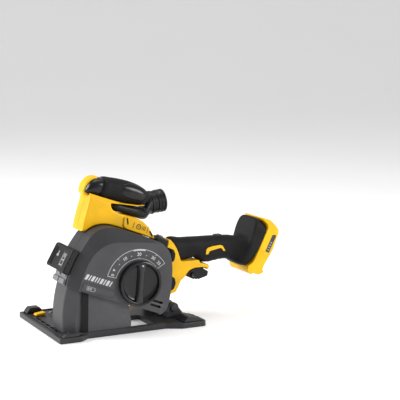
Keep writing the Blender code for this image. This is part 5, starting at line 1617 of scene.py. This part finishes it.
# %% [markdown]
# ## Studio
# A pale sweep of floor, a large soft light from the left that brightens the front of the arm and
# the guard, a weaker one from the near right, a little light from above, and an even pale surround.
# %% Floor, lights and camera
def make_floor():
    """A grid on z = 0 that curves up far behind: z grows with the square of the distance past an
    edge."""
    x, y = np.meshgrid(np.linspace(-6, 6, 60), np.linspace(-4, 8, 80))
    z = 0.12 * np.clip(y - 3.5, 0, None) ** 2 - 0.0002
    surface = skin(np.stack([x, y, z], -1) / MM, closed=False, caps=(False, False))
    floor = make_object("floor", surface)
    material, place, shader = start_finish("pale_floor")
    cloud = place.noise(400, 2.0)
    feed(shader, cloud.blend((0.86, 0.86, 0.86, 1), (0.90, 0.90, 0.90, 1)),
         0.75 + (cloud - 0.5) * 0.1)
    shader.inputs["Emission Color"].default_value = (1, 1, 1, 1)
    shader.inputs["Emission Strength"].default_value = 0.2
    floor.data.materials.append(material)
    floor.data.shade_smooth()


def area_light(name, place, aim, size, power):
    """A square light at a place, turned to face its aim; its size in metres, its power in watts."""
    lamp = bpy.data.lights.new(name, "AREA")
    lamp.shape, lamp.size, lamp.energy = "SQUARE", size, power
    made = bpy.data.objects.new(name, lamp)
    bpy.context.scene.collection.objects.link(made)
    made.location = place
    made.rotation_euler = (Vector(aim) - Vector(place)).to_track_quat("-Z", "Y").to_euler()


make_floor()
area_light("left_light", (-1.9, 1.0, 1.1), (-0.05, 0, 0.08), 1.2, 54)
area_light("top_light", (0.1, 0.1, 2.0), (0, 0, 0.1), 1.4, 13)
area_light("right_light", (1.5, -1.7, 0.9), (0, 0, 0.1), 1.0, 35)
world = bpy.data.worlds.new("studio")
world.use_nodes = True
bpy.context.scene.world = world
world.node_tree.nodes["Background"].inputs["Color"].default_value = (1, 1, 1, 1)
world.node_tree.nodes["Background"].inputs["Strength"].default_value = 0.5

camera = bpy.data.cameras.new("camera")
CAMERA_PLACE, CAMERA_WAY = (-0.86295, -1.8634, 0.5193), Vector((0.4479, 0.8809, -0.1530))
camera.lens, camera.sensor_width = 110.2, 36.0
camera.clip_start, camera.clip_end = 0.05, 40
view = bpy.data.objects.new("camera", camera)
bpy.context.scene.collection.objects.link(view)
view.location = CAMERA_PLACE
view.rotation_euler = CAMERA_WAY.to_track_quat("-Z", "Y").to_euler()
bpy.context.scene.camera = view
bpy.context.scene.view_settings.view_transform = "Standard"
print("camera is", round(view.location.length, 2), "m away")
